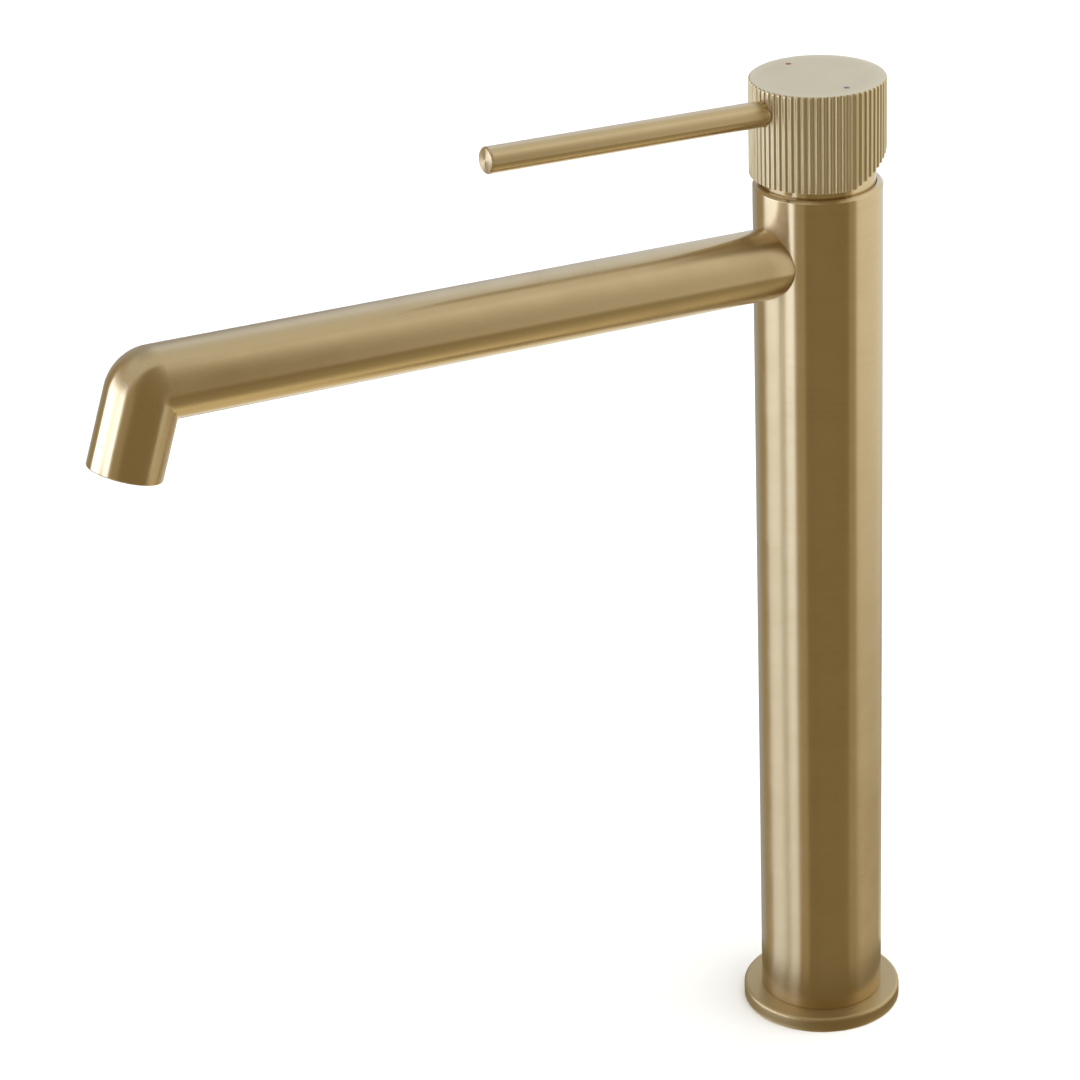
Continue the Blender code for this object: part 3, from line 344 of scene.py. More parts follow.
def spout():
    """The spout: a tube coped to the column, with a rounded elbow and a rounded outlet.

    Each line along its side runs straight, turns through an arc and runs straight again. The arcs
    share one centre, but none is tighter than the elbow's inner corner.
    """
    bend = math.pi / 2 - NOZZLE_TILT + SPOUT_RISE
    bore = SPOUT_RADIUS - SPOUT_WALL

    # Each ring of points: its radius, the leg it is on, its share of that leg, its distance from the
    # leg's end, and how far it is on a rounded edge.
    rings = []
    for step in range(ARC_STEPS + 1):
        angle = math.pi / 2 * step / ARC_STEPS
        rings.append((SPOUT_RADIUS - SPOUT_EDGE * (1 - math.sin(angle)), "spout", 0.0,
                      SPOUT_EDGE * (1 - math.cos(angle)), 1.0))
    for step in range(1, SPOUT_STEPS + 1):
        rings.append((SPOUT_RADIUS, "spout", step / SPOUT_STEPS, 0.0, 0.0))
    for step in range(1, ELBOW_STEPS):
        rings.append((SPOUT_RADIUS, "elbow", step / ELBOW_STEPS, 0.0, 0.0))
    for step in range(NOZZLE_STEPS + 1):
        rings.append((SPOUT_RADIUS, "nozzle", step / NOZZLE_STEPS, NOZZLE_EDGE * step / NOZZLE_STEPS, 0.0))
    for step in range(1, ARC_STEPS + 1):
        angle = math.pi / 2 * step / ARC_STEPS
        rings.append((SPOUT_RADIUS - NOZZLE_EDGE * (1 - math.cos(angle)), "nozzle", 1.0,
                      NOZZLE_EDGE * (1 - math.sin(angle)), 1.0))
    rings.append((bore + NOZZLE_LIP, "nozzle", 1.0, 0.0, 1.0))
    rings.append((bore, "nozzle", 1.0, NOZZLE_LIP, 0.5))
    rings.append((bore, "nozzle", 0.0, 0.0, 0.0))
    for step in range(ELBOW_STEPS - 1, -1, -1):
        rings.append((bore, "elbow", step / ELBOW_STEPS, 0.0, 0.0))
    rings.append((bore, "spout", 0.0, 0.0, 0.0))

    vertices, brush, edge = [], [], []
    for radius, leg, share, back, sharp in rings:
        for side in range(SIDES):
            turn = 2 * math.pi * side / SIDES
            across = Vector((radius * math.cos(turn), 0.0, 0.0))
            lift = radius * math.sin(turn)
            arc = max(ELBOW_OUTER_RADIUS - SPOUT_RADIUS + lift, ELBOW_INNER_RADIUS)
            reach = (lift - arc) * math.tan(bend / 2)
            if leg == "spout":
                cope = cope_distance(radius, turn)
                along = cope + (SPOUT_LENGTH + reach - cope) * share + back
                point = SPOUT_CENTRE + SPOUT_DIRECTION * along + SPOUT_UP * lift
            elif leg == "elbow":
                spoke = SPOUT_UP * math.cos(bend * share) + SPOUT_DIRECTION * math.sin(bend * share)
                along = SPOUT_LENGTH + reach + arc * bend * share
                point = SPOUT_CORNER + SPOUT_UP * (lift - arc) + SPOUT_DIRECTION * reach + spoke * arc
            else:
                spoke = SPOUT_UP * math.cos(bend) + SPOUT_DIRECTION * math.sin(bend)
                down = -reach + (NOZZLE_LENGTH + reach) * share - back
                along = SPOUT_LENGTH + reach + arc * bend + down + reach
                point = SPOUT_CORNER + NOZZLE_DIRECTION * down + spoke * lift
            vertices.append(point + across)
            brush.append((across.x, lift, along))
            edge.append(sharp)
    faces = []
    count = len(rings)
    for ring in range(count):
        first = ring * SIDES
        second = (ring + 1) % count * SIDES
        for side in range(SIDES):
            after = (side + 1) % SIDES
            faces.append((first + side, first + after, second + after, second + side))
    obj = new_object("spout_shell", vertices, faces, brush, edge)
    # This UV map gives the brushing its direction, round the elbow too.
    layer = obj.data.uv_layers.new(name=AROUND)
    for face, polygon in enumerate(obj.data.polygons):
        ring, side = divmod(face, SIDES)
        corner_places = ((side, ring), (side + 1, ring), (side + 1, ring + 1), (side, ring + 1))
        for loop_index, (u, v) in zip(polygon.loop_indices, corner_places):
            layer.data[loop_index].uv = (u / SIDES, v / count)
    return obj


def flute_depth(share):
    """Depth of the knob's side at a share of one flute's turn: a rib, then a rounded groove."""
    off = abs(share - 0.5)              # the rib's middle is at a share of 0.5
    rise = min(max((off - RIB_SHARE / 2) / FLANK_SHARE + 0.5, 0.0), 1.0)
    return FLUTE_DEPTH * rise * rise * (3 - 2 * rise)


def knob():
    """The fluted knob: a cap with a rounded top edge, a hub inside and a sloping cut at the back."""
    top = KNOB_HIGH.z
    bottom = KNOB_LOW.z
    rings = [(bottom, KNOB_LOWER_EDGE), (bottom + KNOB_LOWER_EDGE, 0.0)]
    for step in range(1, KNOB_RINGS + 1):
        rings.append((bottom + (top - KNOB_TOP_EDGE - bottom) * step / KNOB_RINGS, 0.0))
    edge_steps = 2 * ARC_STEPS
    for step in range(1, edge_steps + 1):
        angle = math.pi / 2 * step / edge_steps
        rings.append((top - KNOB_TOP_EDGE * (1 - math.sin(angle)), KNOB_TOP_EDGE * (1 - math.cos(angle))))
    vertices, brush, edge = [], [], []
    sides = FLUTE_COUNT * FLUTE_STEPS
    for height, inset in rings:
        limit = KNOB_RADIUS - inset
        for side in range(sides):
            flute, step = divmod(side, FLUTE_STEPS)
            share = step / FLUTE_STEPS
            radius = min(KNOB_RADIUS - flute_depth(share), limit)
            angle = 2 * math.pi * (flute + share) / FLUTE_COUNT
            x = radius * math.cos(angle)
            y = radius * math.sin(angle)
            vertices.append((x, y, height))
            brush.append((x, y, height - bottom))
            edge.append(1.0 if inset > 0 else 0.0)
    faces = [tuple(reversed(range(sides)))]
    for ring in range(len(rings) - 1):
        for side in range(sides):
            after = (side + 1) % sides
            low = ring * sides
            high = low + sides
            faces.append((low + side, low + after, high + after, high + side))
    # The flat top is made of rings that close in on its centre.
    last = (len(rings) - 1) * sides
    inner = KNOB_RADIUS - KNOB_TOP_EDGE
    for ring in range(1, KNOB_TOP_RINGS):
        radius = inner * (1 - ring / KNOB_TOP_RINGS)
        for side in range(sides):
            angle = 2 * math.pi * side / sides
            x = radius * math.cos(angle)
            y = radius * math.sin(angle)
            vertices.append((x, y, top))
            brush.append((x, y, top - bottom + inner - radius))
            edge.append(0.0)
        first = last + (ring - 1) * sides
        for side in range(sides):
            after = (side + 1) % sides
            faces.append((first + side, first + after, first + sides + after, first + sides + side))
    vertices.append((0.0, 0.0, top))
    brush.append((0.0, 0.0, top - bottom + inner))
    edge.append(0.0)
    centre = len(vertices) - 1
    first = last + (KNOB_TOP_RINGS - 1) * sides
    for side in range(sides):
        faces.append((first + side, first + (side + 1) % sides, centre))
    piece = new_object("knob_shell", vertices, faces, brush, edge)

    roof = top - KNOB_ROOF
    bore = KNOB_RADIUS - KNOB_WALL
    below = bottom - CUT_MARGIN
    hollow = revolve("knob_hollow", [
        (0.0, HUB_BOTTOM, 0.0),
        (HUB_RADIUS, HUB_BOTTOM, 0.0),
        (HUB_RADIUS, roof, HUB_FILLET),
        (bore, roof, ROOF_FILLET),
        (bore, below, 0.0),
        (0.0, below, 0.0),
    ])
    reach = 3 * KNOB_RADIUS
    slope = Matrix.Translation((0.0, -UNDERCUT_START, bottom)) @ Matrix.Rotation(UNDERCUT_ANGLE, 4, "X")
    undercut = block("knob_undercut", (-reach, 0.0, -reach), (reach, reach, 0.0), slope)
    lever_hole = bar("knob_lever_hole", LEVER_RADIUS + FIT, LEVER_START, 2 * KNOB_RADIUS, LEVER_PLACE)
    socket = block("knob_spindle_socket", (-SOCKET_HALF, -SOCKET_HALF, below),
                   (SOCKET_HALF, SOCKET_HALF, SOCKET_TOP))
    dots = [bar("knob_dot_hole", DOT_HOLE_RADIUS, top - DOT_HOLE_DEPTH, top + CUT_MARGIN,
                Matrix.Translation((x, 0.0, 0.0)), DOT_SIDES) for x in (-DOT_OFFSET, DOT_OFFSET)]
    return cut(piece, hollow, undercut, lever_hole, socket, *dots)


def lever():
    """The round lever with a chamfered tip."""
    return revolve("lever_shell", [
        (0.0, LEVER_LENGTH, 0.0),
        (LEVER_RADIUS - LEVER_CHAMFER, LEVER_LENGTH, 0.10 * MM),
        (LEVER_RADIUS, LEVER_LENGTH - LEVER_CHAMFER, 0.20 * MM),
        (LEVER_RADIUS, LEVER_START, 0.0),
        (0.0, LEVER_START, 0.0),
    ], LEVER_SIDES, LEVER_PLACE)


def neck():
    """The polished cover ring between the column's rim and the knob."""
    top = NECK_HIGH.z
    skirt = NECK_LOW.z
    inner = NECK_RADIUS - NECK_WALL
    return revolve("neck_shell", [
        (NECK_OPENING, top, 0.15 * MM),
        (NECK_RADIUS - NECK_CHAMFER, top, 0.25 * MM),
        (NECK_RADIUS, top - NECK_CHAMFER, 0.30 * MM),
        (NECK_RADIUS, skirt, 0.0),
        (inner, skirt, 0.0),
        (inner, top - NECK_ROOF, 0.0),
        (NECK_OPENING, top - NECK_ROOF, 0.0),
    ])


def dot(name, x):
    """An index dot: a small enamel button, a little domed and let into the knob's top."""
    crown = DOT_HIGH.z - 0.02 * MM
    return revolve(name, [
        (0.0, crown, 0.0),
        (DOT_RADIUS * 0.7, crown - 0.03 * MM, 0.0),
        (DOT_RADIUS, crown - 0.12 * MM, 0.0),
        (DOT_RADIUS, DOT_LOW.z, 0.0),
        (0.0, DOT_LOW.z, 0.0),
    ], DOT_SIDES, Matrix.Translation((x, 0.0, 0.0)))


# ---------------------------------------------------------------- aerator

def aerator_ring():
    """The aerator's ring, screwed into the outlet, with a rounded mouth."""
    radius = SPOUT_RADIUS - SPOUT_WALL - FIT
    mouth = radius - AERATOR_LIP
    bore = radius - AERATOR_WALL
    return revolve("aerator_ring", [
        (radius, AERATOR_HEIGHT, 0.0),
        (radius, 0.0, 0.30 * MM),
        (mouth, 0.0, 0.45 * MM),
        (mouth, AERATOR_MOUTH, 0.2 * MM),
        (bore, AERATOR_MOUTH, 0.0),
        (bore, AERATOR_HEIGHT, 0.0),
    ], LEVER_SIDES, NOZZLE_PLACE)


def aerator_grid():
    """The flow insert: a round plate of hexagonal cells."""
    radius = SPOUT_RADIUS - SPOUT_WALL - AERATOR_LIP
    curve = bpy.data.curves.new("aerator_grid_outline", "CURVE")
    curve.dimensions = "2D"
    curve.fill_mode = "BOTH"
    curve.extrude = GRID_THICKNESS / 2

    def outline(middle_x, middle_y, reach, sides, start=0.0):
        """A regular outline about a point, its first corner at the start angle."""
        angles = [start + 2 * math.pi * side / sides for side in range(sides)]
        points = [(middle_x + reach * math.cos(angle), middle_y + reach * math.sin(angle))
                  for angle in angles]
        spline = curve.splines.new("POLY")
        spline.points.add(len(points) - 1)
        for point, (x, y) in zip(spline.points, points):
            point.co = (x, y, 0.0, 1.0)
        spline.use_cyclic_u = True

    outline(0.0, 0.0, radius, LEVER_SIDES)
    rows = int(radius / GRID_PITCH) + 1
    for row in range(-rows, rows + 1):
        for number in range(-rows, rows + 1):
            x = GRID_PITCH * (number + (row % 2) / 2)
            y = GRID_PITCH * row * math.sqrt(3) / 2
            if math.hypot(x, y) <= radius - GRID_RIM:
                outline(x, y, GRID_CELL, 6, math.pi / 6)
    source = bpy.data.objects.new("aerator_grid_outline", curve)
    bpy.context.scene.collection.objects.link(source)
    bpy.context.view_layer.update()
    graph = bpy.context.evaluated_depsgraph_get()
    mesh = bpy.data.meshes.new_from_object(source.evaluated_get(graph))
    bpy.data.objects.remove(source, do_unlink=True)
    work = bmesh.new()
    work.from_mesh(mesh)
    bmesh.ops.remove_doubles(work, verts=work.verts, dist=SAME_PLACE)
    work.to_mesh(mesh)
    work.free()
    obj = bpy.data.objects.new("aerator_grid", mesh)
    bpy.context.scene.collection.objects.link(obj)
    obj.matrix_world = NOZZLE_PLACE @ Matrix.Translation((0.0, 0.0, GRID_RECESS + GRID_THICKNESS / 2))
    smooth(obj)
    return obj


# ---------------------------------------------------------------- materials

NOISE_LOW = 0.3                # nearly all of a noise texture's values lie between these two
NOISE_HIGH = 0.7


class Shader:
    """A Principled material and short ways to add nodes to it."""

    def __init__(self, name):
        self.material = bpy.data.materials.new(name)
        self.material.use_nodes = True
        self.tree = self.material.node_tree
        self.surface = self.tree.nodes["Principled BSDF"]

    def node(self, kind, **values):
        """Add a node. Values name its settings or its inputs; an input may be given another socket."""
        made = self.tree.nodes.new(kind)
        for key, value in values.items():
            if hasattr(made, key):
                setattr(made, key, value)
                continue
            socket = made.inputs[key.replace("_", " ")]
            self.feed(socket, value)
        return made

    def feed(self, socket, value):
        """Give a socket a value or a link."""
        if isinstance(value, bpy.types.NodeSocket):
            self.tree.links.new(value, socket)
        else:
            socket.default_value = value

    def set(self, **values):
        """Set the surface's sockets."""
        for key, value in values.items():
            self.feed(self.surface.inputs[key.replace("_", " ")], value)

    def coordinates(self, attribute, stretch):
        """A piece's own coordinates, stretched: its brush attribute, or the object's place."""
        if attribute:
            source = self.node("ShaderNodeAttribute", attribute_name=BRUSH).outputs["Vector"]
        else:
            source = self.node("ShaderNodeTexCoord").outputs["Object"]
        return self.node("ShaderNodeMapping", Vector=source, Scale=stretch).outputs["Vector"]

    def noise(self, vector, scale, detail, rough):
        """A noise value from 0 to 1."""
        return self.node("ShaderNodeTexNoise", Vector=vector, Scale=scale, Detail=detail,
                         Roughness=rough).outputs["Fac"]

    def span(self, value, low, high):
        """A noise value mapped onto a range, smoothly."""
        made = self.node("ShaderNodeMapRange", interpolation_type="SMOOTHSTEP", Value=value)
        for socket, number in zip(list(made.inputs)[1:5], (NOISE_LOW, NOISE_HIGH, low, high)):
            socket.default_value = number
        return made.outputs["Result"]

    def mix(self, share, first, second):
        """A mix of two colours."""
        made = self.node("ShaderNodeMix", data_type="RGBA")
        self.feed(made.inputs[0], share)
        self.feed(made.inputs[6], first)
        self.feed(made.inputs[7], second)
        return made.outputs[2]

    def math(self, operation, first, second):
        """Arithmetic on two values."""
        made = self.node("ShaderNodeMath", operation=operation)
        self.feed(made.inputs[0], first)
        self.feed(made.inputs[1], second)
        return made.outputs[0]

    def bump(self, height, strength, distance):
        """A bump normal."""
        made = self.node("ShaderNodeBump", Strength=strength, Distance=distance, Height=height)
        return made.outputs["Normal"]


# A metal's light and deep tone, and the tone of its polished edges.
GOLD = (0.66, 0.535, 0.345, 1.0)
GOLD_DEEP = (0.635, 0.508, 0.318, 1.0)
GOLD_EDGE = (0.70, 0.58, 0.39, 1.0)
# The flange's gold: the same gold painted darker and warmer, as painted shade.
GOLD_PAINTED_SHADE = (0.60, 0.475, 0.28, 1.0)
GOLD_PAINTED_SHADE_DEEP = (0.57, 0.445, 0.255, 1.0)
# The knob's gold: the same gold painted paler and whiter, as painted light.
GOLD_PAINTED_LIGHT = (0.72, 0.625, 0.435, 1.0)
GOLD_PAINTED_LIGHT_DEEP = (0.69, 0.595, 0.405, 1.0)
GOLD_PAINTED_LIGHT_EDGE = (0.75, 0.66, 0.475, 1.0)
BRASS = (0.74, 0.55, 0.27, 1.0)
BRASS_DEEP = (0.62, 0.43, 0.18, 1.0)
COPPER_RED = (0.84, 0.47, 0.32, 1.0)
COPPER_DEEP = (0.72, 0.36, 0.22, 1.0)
STEEL_GREY = (0.66, 0.66, 0.64, 1.0)
STEEL_DEEP = (0.55, 0.55, 0.54, 1.0)

# Noise cells to the metre.
FINE_LINES = 7200.0
COARSE_LINES = 2200.0
SMEARS = 90.0
PATCHES = 38.0
LINE_STRETCH = 0.012           # a cell's size along the axis, as a share of its size round it
EVEN = (1.0, 1.0, 1.0)         # no stretch
DULL_FINE = 9                  # fine cells to one broad cell of a dull material

# How much roughness changes from place to place.
LINE_ROUGHNESS = 0.035
SMEAR_SMOOTHER = 0.01
SMEAR_ROUGHER = 0.02
PATCH_ROUGHNESS = 0.015
EDGE_POLISH = 0.06             # how much smoother a worn edge is
DULL_ROUGHNESS = 0.06

# Bump: its strength and its depth.
LINE_BUMP = 0.06
LINE_DEPTH = 0.01 * MM
DULL_BUMP = 0.05
DULL_DEPTH = 0.02 * MM

FULL_BLUR = 0.88               # how far brushing draws out the gloss
QUARTER_TURN = 0.25            # turns the drawn-out gloss from the brushed lines' direction to the axis


def brushed_metal(name, light, deep, edge, roughness, blur, grain=1.0, stretch=LINE_STRETCH):
    """Metal brushed round its axis: fine lines in bump, roughness and colour, with polished edges.

    Without an edge colour it is for pieces that have no surface attributes of their own.
    """
    shader = Shader(name)
    lines = shader.coordinates(edge, (stretch, stretch, 1.0))
    fine = shader.noise(lines, FINE_LINES, 2.0, 0.6)
    coarse = shader.noise(lines, COARSE_LINES, 3.0, 0.6)
    plain = shader.coordinates(edge, EVEN)
    patches = shader.noise(plain, PATCHES, 2.0, 0.5)
    smears = shader.noise(plain, SMEARS, 2.0, 0.5)
    rough = shader.math("ADD", shader.span(fine, -LINE_ROUGHNESS * grain, LINE_ROUGHNESS * grain),
                        shader.span(smears, roughness - SMEAR_SMOOTHER, roughness + SMEAR_ROUGHER))
    rough = shader.math("ADD", rough, shader.span(patches, -PATCH_ROUGHNESS, PATCH_ROUGHNESS))
    contrast = min(grain, 0.5)
    tone = shader.mix(shader.span(coarse, 0.5 - contrast, 0.5 + contrast), deep, light)
    if edge:
        edges = shader.node("ShaderNodeAttribute", attribute_name=EDGE).outputs["Fac"]
        worn = shader.math("MULTIPLY", edges, shader.span(smears, 0.35, 1.0))
        tone = shader.mix(worn, tone, edge)
        rough = shader.math("SUBTRACT", rough, shader.math("MULTIPLY", worn, EDGE_POLISH))
    height = shader.math("ADD", fine, shader.math("MULTIPLY", coarse, 0.6))
    normal = shader.bump(height, LINE_BUMP * grain, LINE_DEPTH)
    shader.set(Base_Color=tone, Metallic=1.0, Roughness=rough, Normal=normal)
    shader.surface.inputs["Anisotropic"].default_value = blur
    return shader


def dull(name, light, deep, roughness, scale):
    """A moulded, lapped or enamelled material with slight tone, gloss and surface variation."""
    shader = Shader(name)
    where = shader.coordinates(False, EVEN)
    broad = shader.noise(where, scale, 3.0, 0.6)
    fine = shader.noise(where, scale * DULL_FINE, 4.0, 0.6)
    shader.set(
        Base_Color=shader.mix(shader.span(broad, 0.0, 1.0), deep, light),
        Metallic=0.0,
        Roughness=shader.span(fine, roughness - DULL_ROUGHNESS, roughness + DULL_ROUGHNESS),
        Normal=shader.bump(fine, DULL_BUMP, DULL_DEPTH),
    )
    return shader


def tangent(shader, uv_map=None):
    """Make the lines run round the piece's own axis, so that its gloss is drawn out along that axis."""
    if uv_map:
        made = shader.node("ShaderNodeTangent", direction_type="UV_MAP", uv_map=uv_map)
    else:
        made = shader.node("ShaderNodeTangent", direction_type="RADIAL", axis="Z")
    shader.feed(shader.surface.inputs["Tangent"], made.outputs["Tangent"])
    shader.surface.inputs["Anisotropic Rotation"].default_value = QUARTER_TURN


GOLD_METAL = brushed_metal("gold_brushed", GOLD, GOLD_DEEP, GOLD_EDGE, 0.24, FULL_BLUR, 0.45)
tangent(GOLD_METAL)
GOLD_SPOUT = brushed_metal("gold_brushed_spout", GOLD, GOLD_DEEP, GOLD_EDGE, 0.25, FULL_BLUR, 0.12)
tangent(GOLD_SPOUT, AROUND)
# The knob's colour is the paler copy of the gold, painted light; its roughness and lack of anisotropy are
# its own.
GOLD_FLUTED_PAINTED_LIGHT = brushed_metal("gold_fluted_painted_light", GOLD_PAINTED_LIGHT, GOLD_PAINTED_LIGHT_DEEP, GOLD_PAINTED_LIGHT_EDGE, 0.37, 0.0, 0.15,
                            stretch=1.0)
GOLD_POLISHED = brushed_metal("gold_polished", GOLD, GOLD_DEEP, GOLD_EDGE, 0.16, 0.3, 0.3)
tangent(GOLD_POLISHED)
# The flange's colour is the darker copy of the gold, painted shade; its higher roughness is its own.
GOLD_TURNED_PAINTED_SHADE = brushed_metal("gold_turned_painted_shade", GOLD_PAINTED_SHADE, GOLD_PAINTED_SHADE_DEEP, GOLD_PAINTED_SHADE, 0.50, 0.3, 0.4)
tangent(GOLD_TURNED_PAINTED_SHADE)
RAW_BRASS = brushed_metal("brass_turned", BRASS, BRASS_DEEP, None, 0.34, 0.0)
COPPER = brushed_metal("copper_drawn", COPPER_RED, COPPER_DEEP, None, 0.34, 0.0)
STEEL = brushed_metal("steel_plain", STEEL_GREY, STEEL_DEEP, None, 0.30, 0.0)
CERAMIC = dull("ceramic_lapped", (0.88, 0.87, 0.84, 1.0), (0.80, 0.79, 0.76, 1.0), 0.22, 220.0)
ACETAL = dull("acetal_moulded", (0.80, 0.79, 0.75, 1.0), (0.70, 0.69, 0.65, 1.0), 0.45, 160.0)
RUBBER = dull("rubber_moulded", (0.035, 0.035, 0.037, 1.0), (0.015, 0.015, 0.016, 1.0), 0.65, 240.0)
RED = dull("enamel_red", (0.32, 0.03, 0.025, 1.0), (0.20, 0.02, 0.02, 1.0), 0.35, 900.0)
BLUE = dull("enamel_blue", (0.05, 0.11, 0.24, 1.0), (0.03, 0.07, 0.16, 1.0), 0.35, 900.0)

SLOT_SHADERS = {
    "brushed_gold": GOLD_METAL, "raw_brass": RAW_BRASS, "copper": COPPER, "steel": STEEL,
    "ceramic": CERAMIC, "acetal": ACETAL, "rubber": RUBBER, "hot_enamel": RED, "cold_enamel": BLUE,
}

# ---------------------------------------------------------------- pieces

for row in frame["record"]["subparts"]:
    node = frame["nodes"][row["node"]]
    node.data.materials.clear()
    node.data.materials.append(SLOT_SHADERS[row["material_slot"]].material)


def stand_in(piece, body, shader, node):
    """Give a piece its material and slot, make it ride on a body and let it replace its CAD node."""
    piece.data.materials.clear()
    piece.data.materials.append(shader.material)
    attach(piece, body)
    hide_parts(node)


stand_in(column(), "root", GOLD_METAL, "column_tube")
stand_in(flange(), "root", GOLD_TURNED_PAINTED_SHADE, "base_flange")
stand_in(spout(), "root", GOLD_SPOUT, "spout_tube")
stand_in(neck(), "root", GOLD_POLISHED, "neck_ring")
stand_in(aerator_ring(), "root", GOLD_METAL, "aerator_housing")
stand_in(aerator_grid(), "root", ACETAL, "aerator_insert")
stand_in(knob(), "handle", GOLD_FLUTED_PAINTED_LIGHT, "handle_knob")
stand_in(lever(), "handle", GOLD_METAL, "lever_rod")
stand_in(dot("hot_dot", -DOT_OFFSET), "handle", RED, "hot_index")
stand_in(dot("cold_dot", DOT_OFFSET), "handle", BLUE, "cold_index")

# ---------------------------------------------------------------- floor, light and camera

# Stage sizes are in metres too.
STAGE_SIDES = 64
FLOOR_RADIUS = 6.0
FLOOR_THICKNESS = 0.01
FLOOR_PALE = (0.925, 0.928, 0.94, 1.0)
FLOOR_DEEP = (0.915, 0.918, 0.93, 1.0)
BACKDROP_RADIUS = 9.0
BACKDROP_SHELL = 1.01          # its outer radius over its inner one
BACKDROP_STEPS = 24
BACKDROP_PALE = (1.0, 1.0, 1.0, 1.0)
BACKDROP_DEEP = (0.985, 0.985, 0.985, 1.0)
BLACK = (0.0, 0.0, 0.0, 1.0)


def glow(obj, name, cells, light, deep):
    """Make a stage piece glow with an almost even tone, and keep it out of the floor's light."""
    shader = Shader(name)
    mottle = shader.noise(shader.coordinates(False, EVEN), cells, 2.0, 0.5)
    tone = shader.mix(shader.span(mottle, 0.0, 1.0), deep, light)
    shader.set(Base_Color=BLACK, Roughness=1.0, Emission_Color=tone, Emission_Strength=1.0)
    shader.set(Specular_IOR_Level=0.0)
    obj.data.materials.append(shader.material)
    obj.visible_diffuse = False
    obj.visible_shadow = False
    obj.visible_transmission = False


def floor():
    """A plain pale floor, which the metal doesn't see."""
    obj = bar("floor", FLOOR_RADIUS, -FLOOR_THICKNESS, 0.0, sides=STAGE_SIDES)
    shader = Shader("floor_pale")
    mottle = shader.noise(shader.coordinates(False, EVEN), 3.0, 3.0, 0.5)
    tone = shader.mix(shader.span(mottle, 0.0, 1.0), FLOOR_DEEP, FLOOR_PALE)
    shader.set(Base_Color=tone, Roughness=0.9, Specular_IOR_Level=0.1)
    obj.data.materials.append(shader.material)
    obj.visible_glossy = False


def backdrop():
    """A pale dome behind everything, which only the camera sees."""
    inside = [(0.0, BACKDROP_RADIUS, 0.0)]
    for step in range(1, BACKDROP_STEPS):
        angle = math.pi * step / BACKDROP_STEPS
        inside.append((BACKDROP_RADIUS * math.sin(angle), BACKDROP_RADIUS * math.cos(angle), 0.0))
    inside.append((0.0, -BACKDROP_RADIUS, 0.0))
    outside = [(BACKDROP_SHELL * radius, BACKDROP_SHELL * height, 0.0) for radius, height, _ in inside]
    obj = revolve("backdrop", inside + outside[::-1], STAGE_SIDES)
    glow(obj, "backdrop_pale", 0.4, BACKDROP_PALE, BACKDROP_DEEP)
    obj.visible_glossy = False


# The room that the metal reflects: a warm dark ground, and surfaces in front of it, each with the azimuth
# of its middle (from +X towards +Y), half its width, its lowest and highest elevation, the softness of its
# sides and of its ends, all in degrees, and its colour.
ROOM_GROUND = (0.40, 0.33, 0.20)
ROOM_CARDS = [
    (0, 180, 48, 90, 2, 14, (0.655, 0.635, 0.54)),        # ceiling
    (100, 48, -90, -40, 10, 10, (0.80, 0.68, 0.42)),      # table behind
    (72, 38, -26, 52, 7, 8, (0.94, 0.91, 0.80)),          # wall behind at the right
    (142, 32, -24, 50, 8, 8, (0.86, 0.92, 1.02)),         # wall behind at the left
    (168, 18, -90, 90, 6, 8, (0.44, 0.44, 0.42)),         # corner behind at the left
    (134, 14, -54, -32, 6, 6, (1.15, 1.15, 1.10)),        # bright object behind at the left
    (-111, 32, -90, -14, 3, 14, (0.86, 0.90, 0.92)),      # table under the window
    (-111, 32, -14, 17, 3, 12, (2.80, 3.05, 3.60)),       # window
    (-103, 6.5, -80, 0, 3, 12, (0.62, 0.62, 0.57)),       # its bar
]
FLAG_DISTANCE = 0.5                    # to the right of the object
FLAG_NEAR = -0.85                      # its edges along Y
FLAG_FAR = 0.165
FLAG_LOW = -1.2
FLAG_HIGH = 1.6
FLAG_THICKNESS = 0.01
FLAG_LIGHT = (0.28, 0.22, 0.115, 1.0)
FLAG_DEEP = (0.25, 0.195, 0.10, 1.0)

CONTACT_GAP = 1.0 * MM                 # from the flange's side
CONTACT_WIDTH = 15.0 * MM
CONTACT_LOW = 0.1 * MM
CONTACT_HIGH = 0.4 * MM
CONTACT_LIGHT = (0.21, 0.16, 0.075, 1.0)
CONTACT_DEEP = (0.19, 0.14, 0.065, 1.0)


def reflected_card(obj, light, deep):
    """Make a stage piece glow, and hide it from all but the metal."""
    glow(obj, obj.name + "_card", 1.5, light, deep)
    obj.visible_camera = False


def flag():
    """A dark warm card beside the object, which only the metal sees."""
    obj = block("flag", (FLAG_DISTANCE, FLAG_NEAR, FLAG_LOW),
                (FLAG_DISTANCE + FLAG_THICKNESS, FLAG_FAR, FLAG_HIGH))
    reflected_card(obj, FLAG_LIGHT, FLAG_DEEP)


def contact_ring():
    """The dark ring of the object's own shadow on the table, which only the metal sees."""
    inner = FLANGE_HIGH.x + CONTACT_GAP
    outer = inner + CONTACT_WIDTH
    obj = revolve("contact_ring", [(inner, CONTACT_HIGH, 0.0), (outer, CONTACT_HIGH, 0.0),
                                   (outer, CONTACT_LOW, 0.0), (inner, CONTACT_LOW, 0.0)], STAGE_SIDES)
    reflected_card(obj, CONTACT_LIGHT, CONTACT_DEEP)


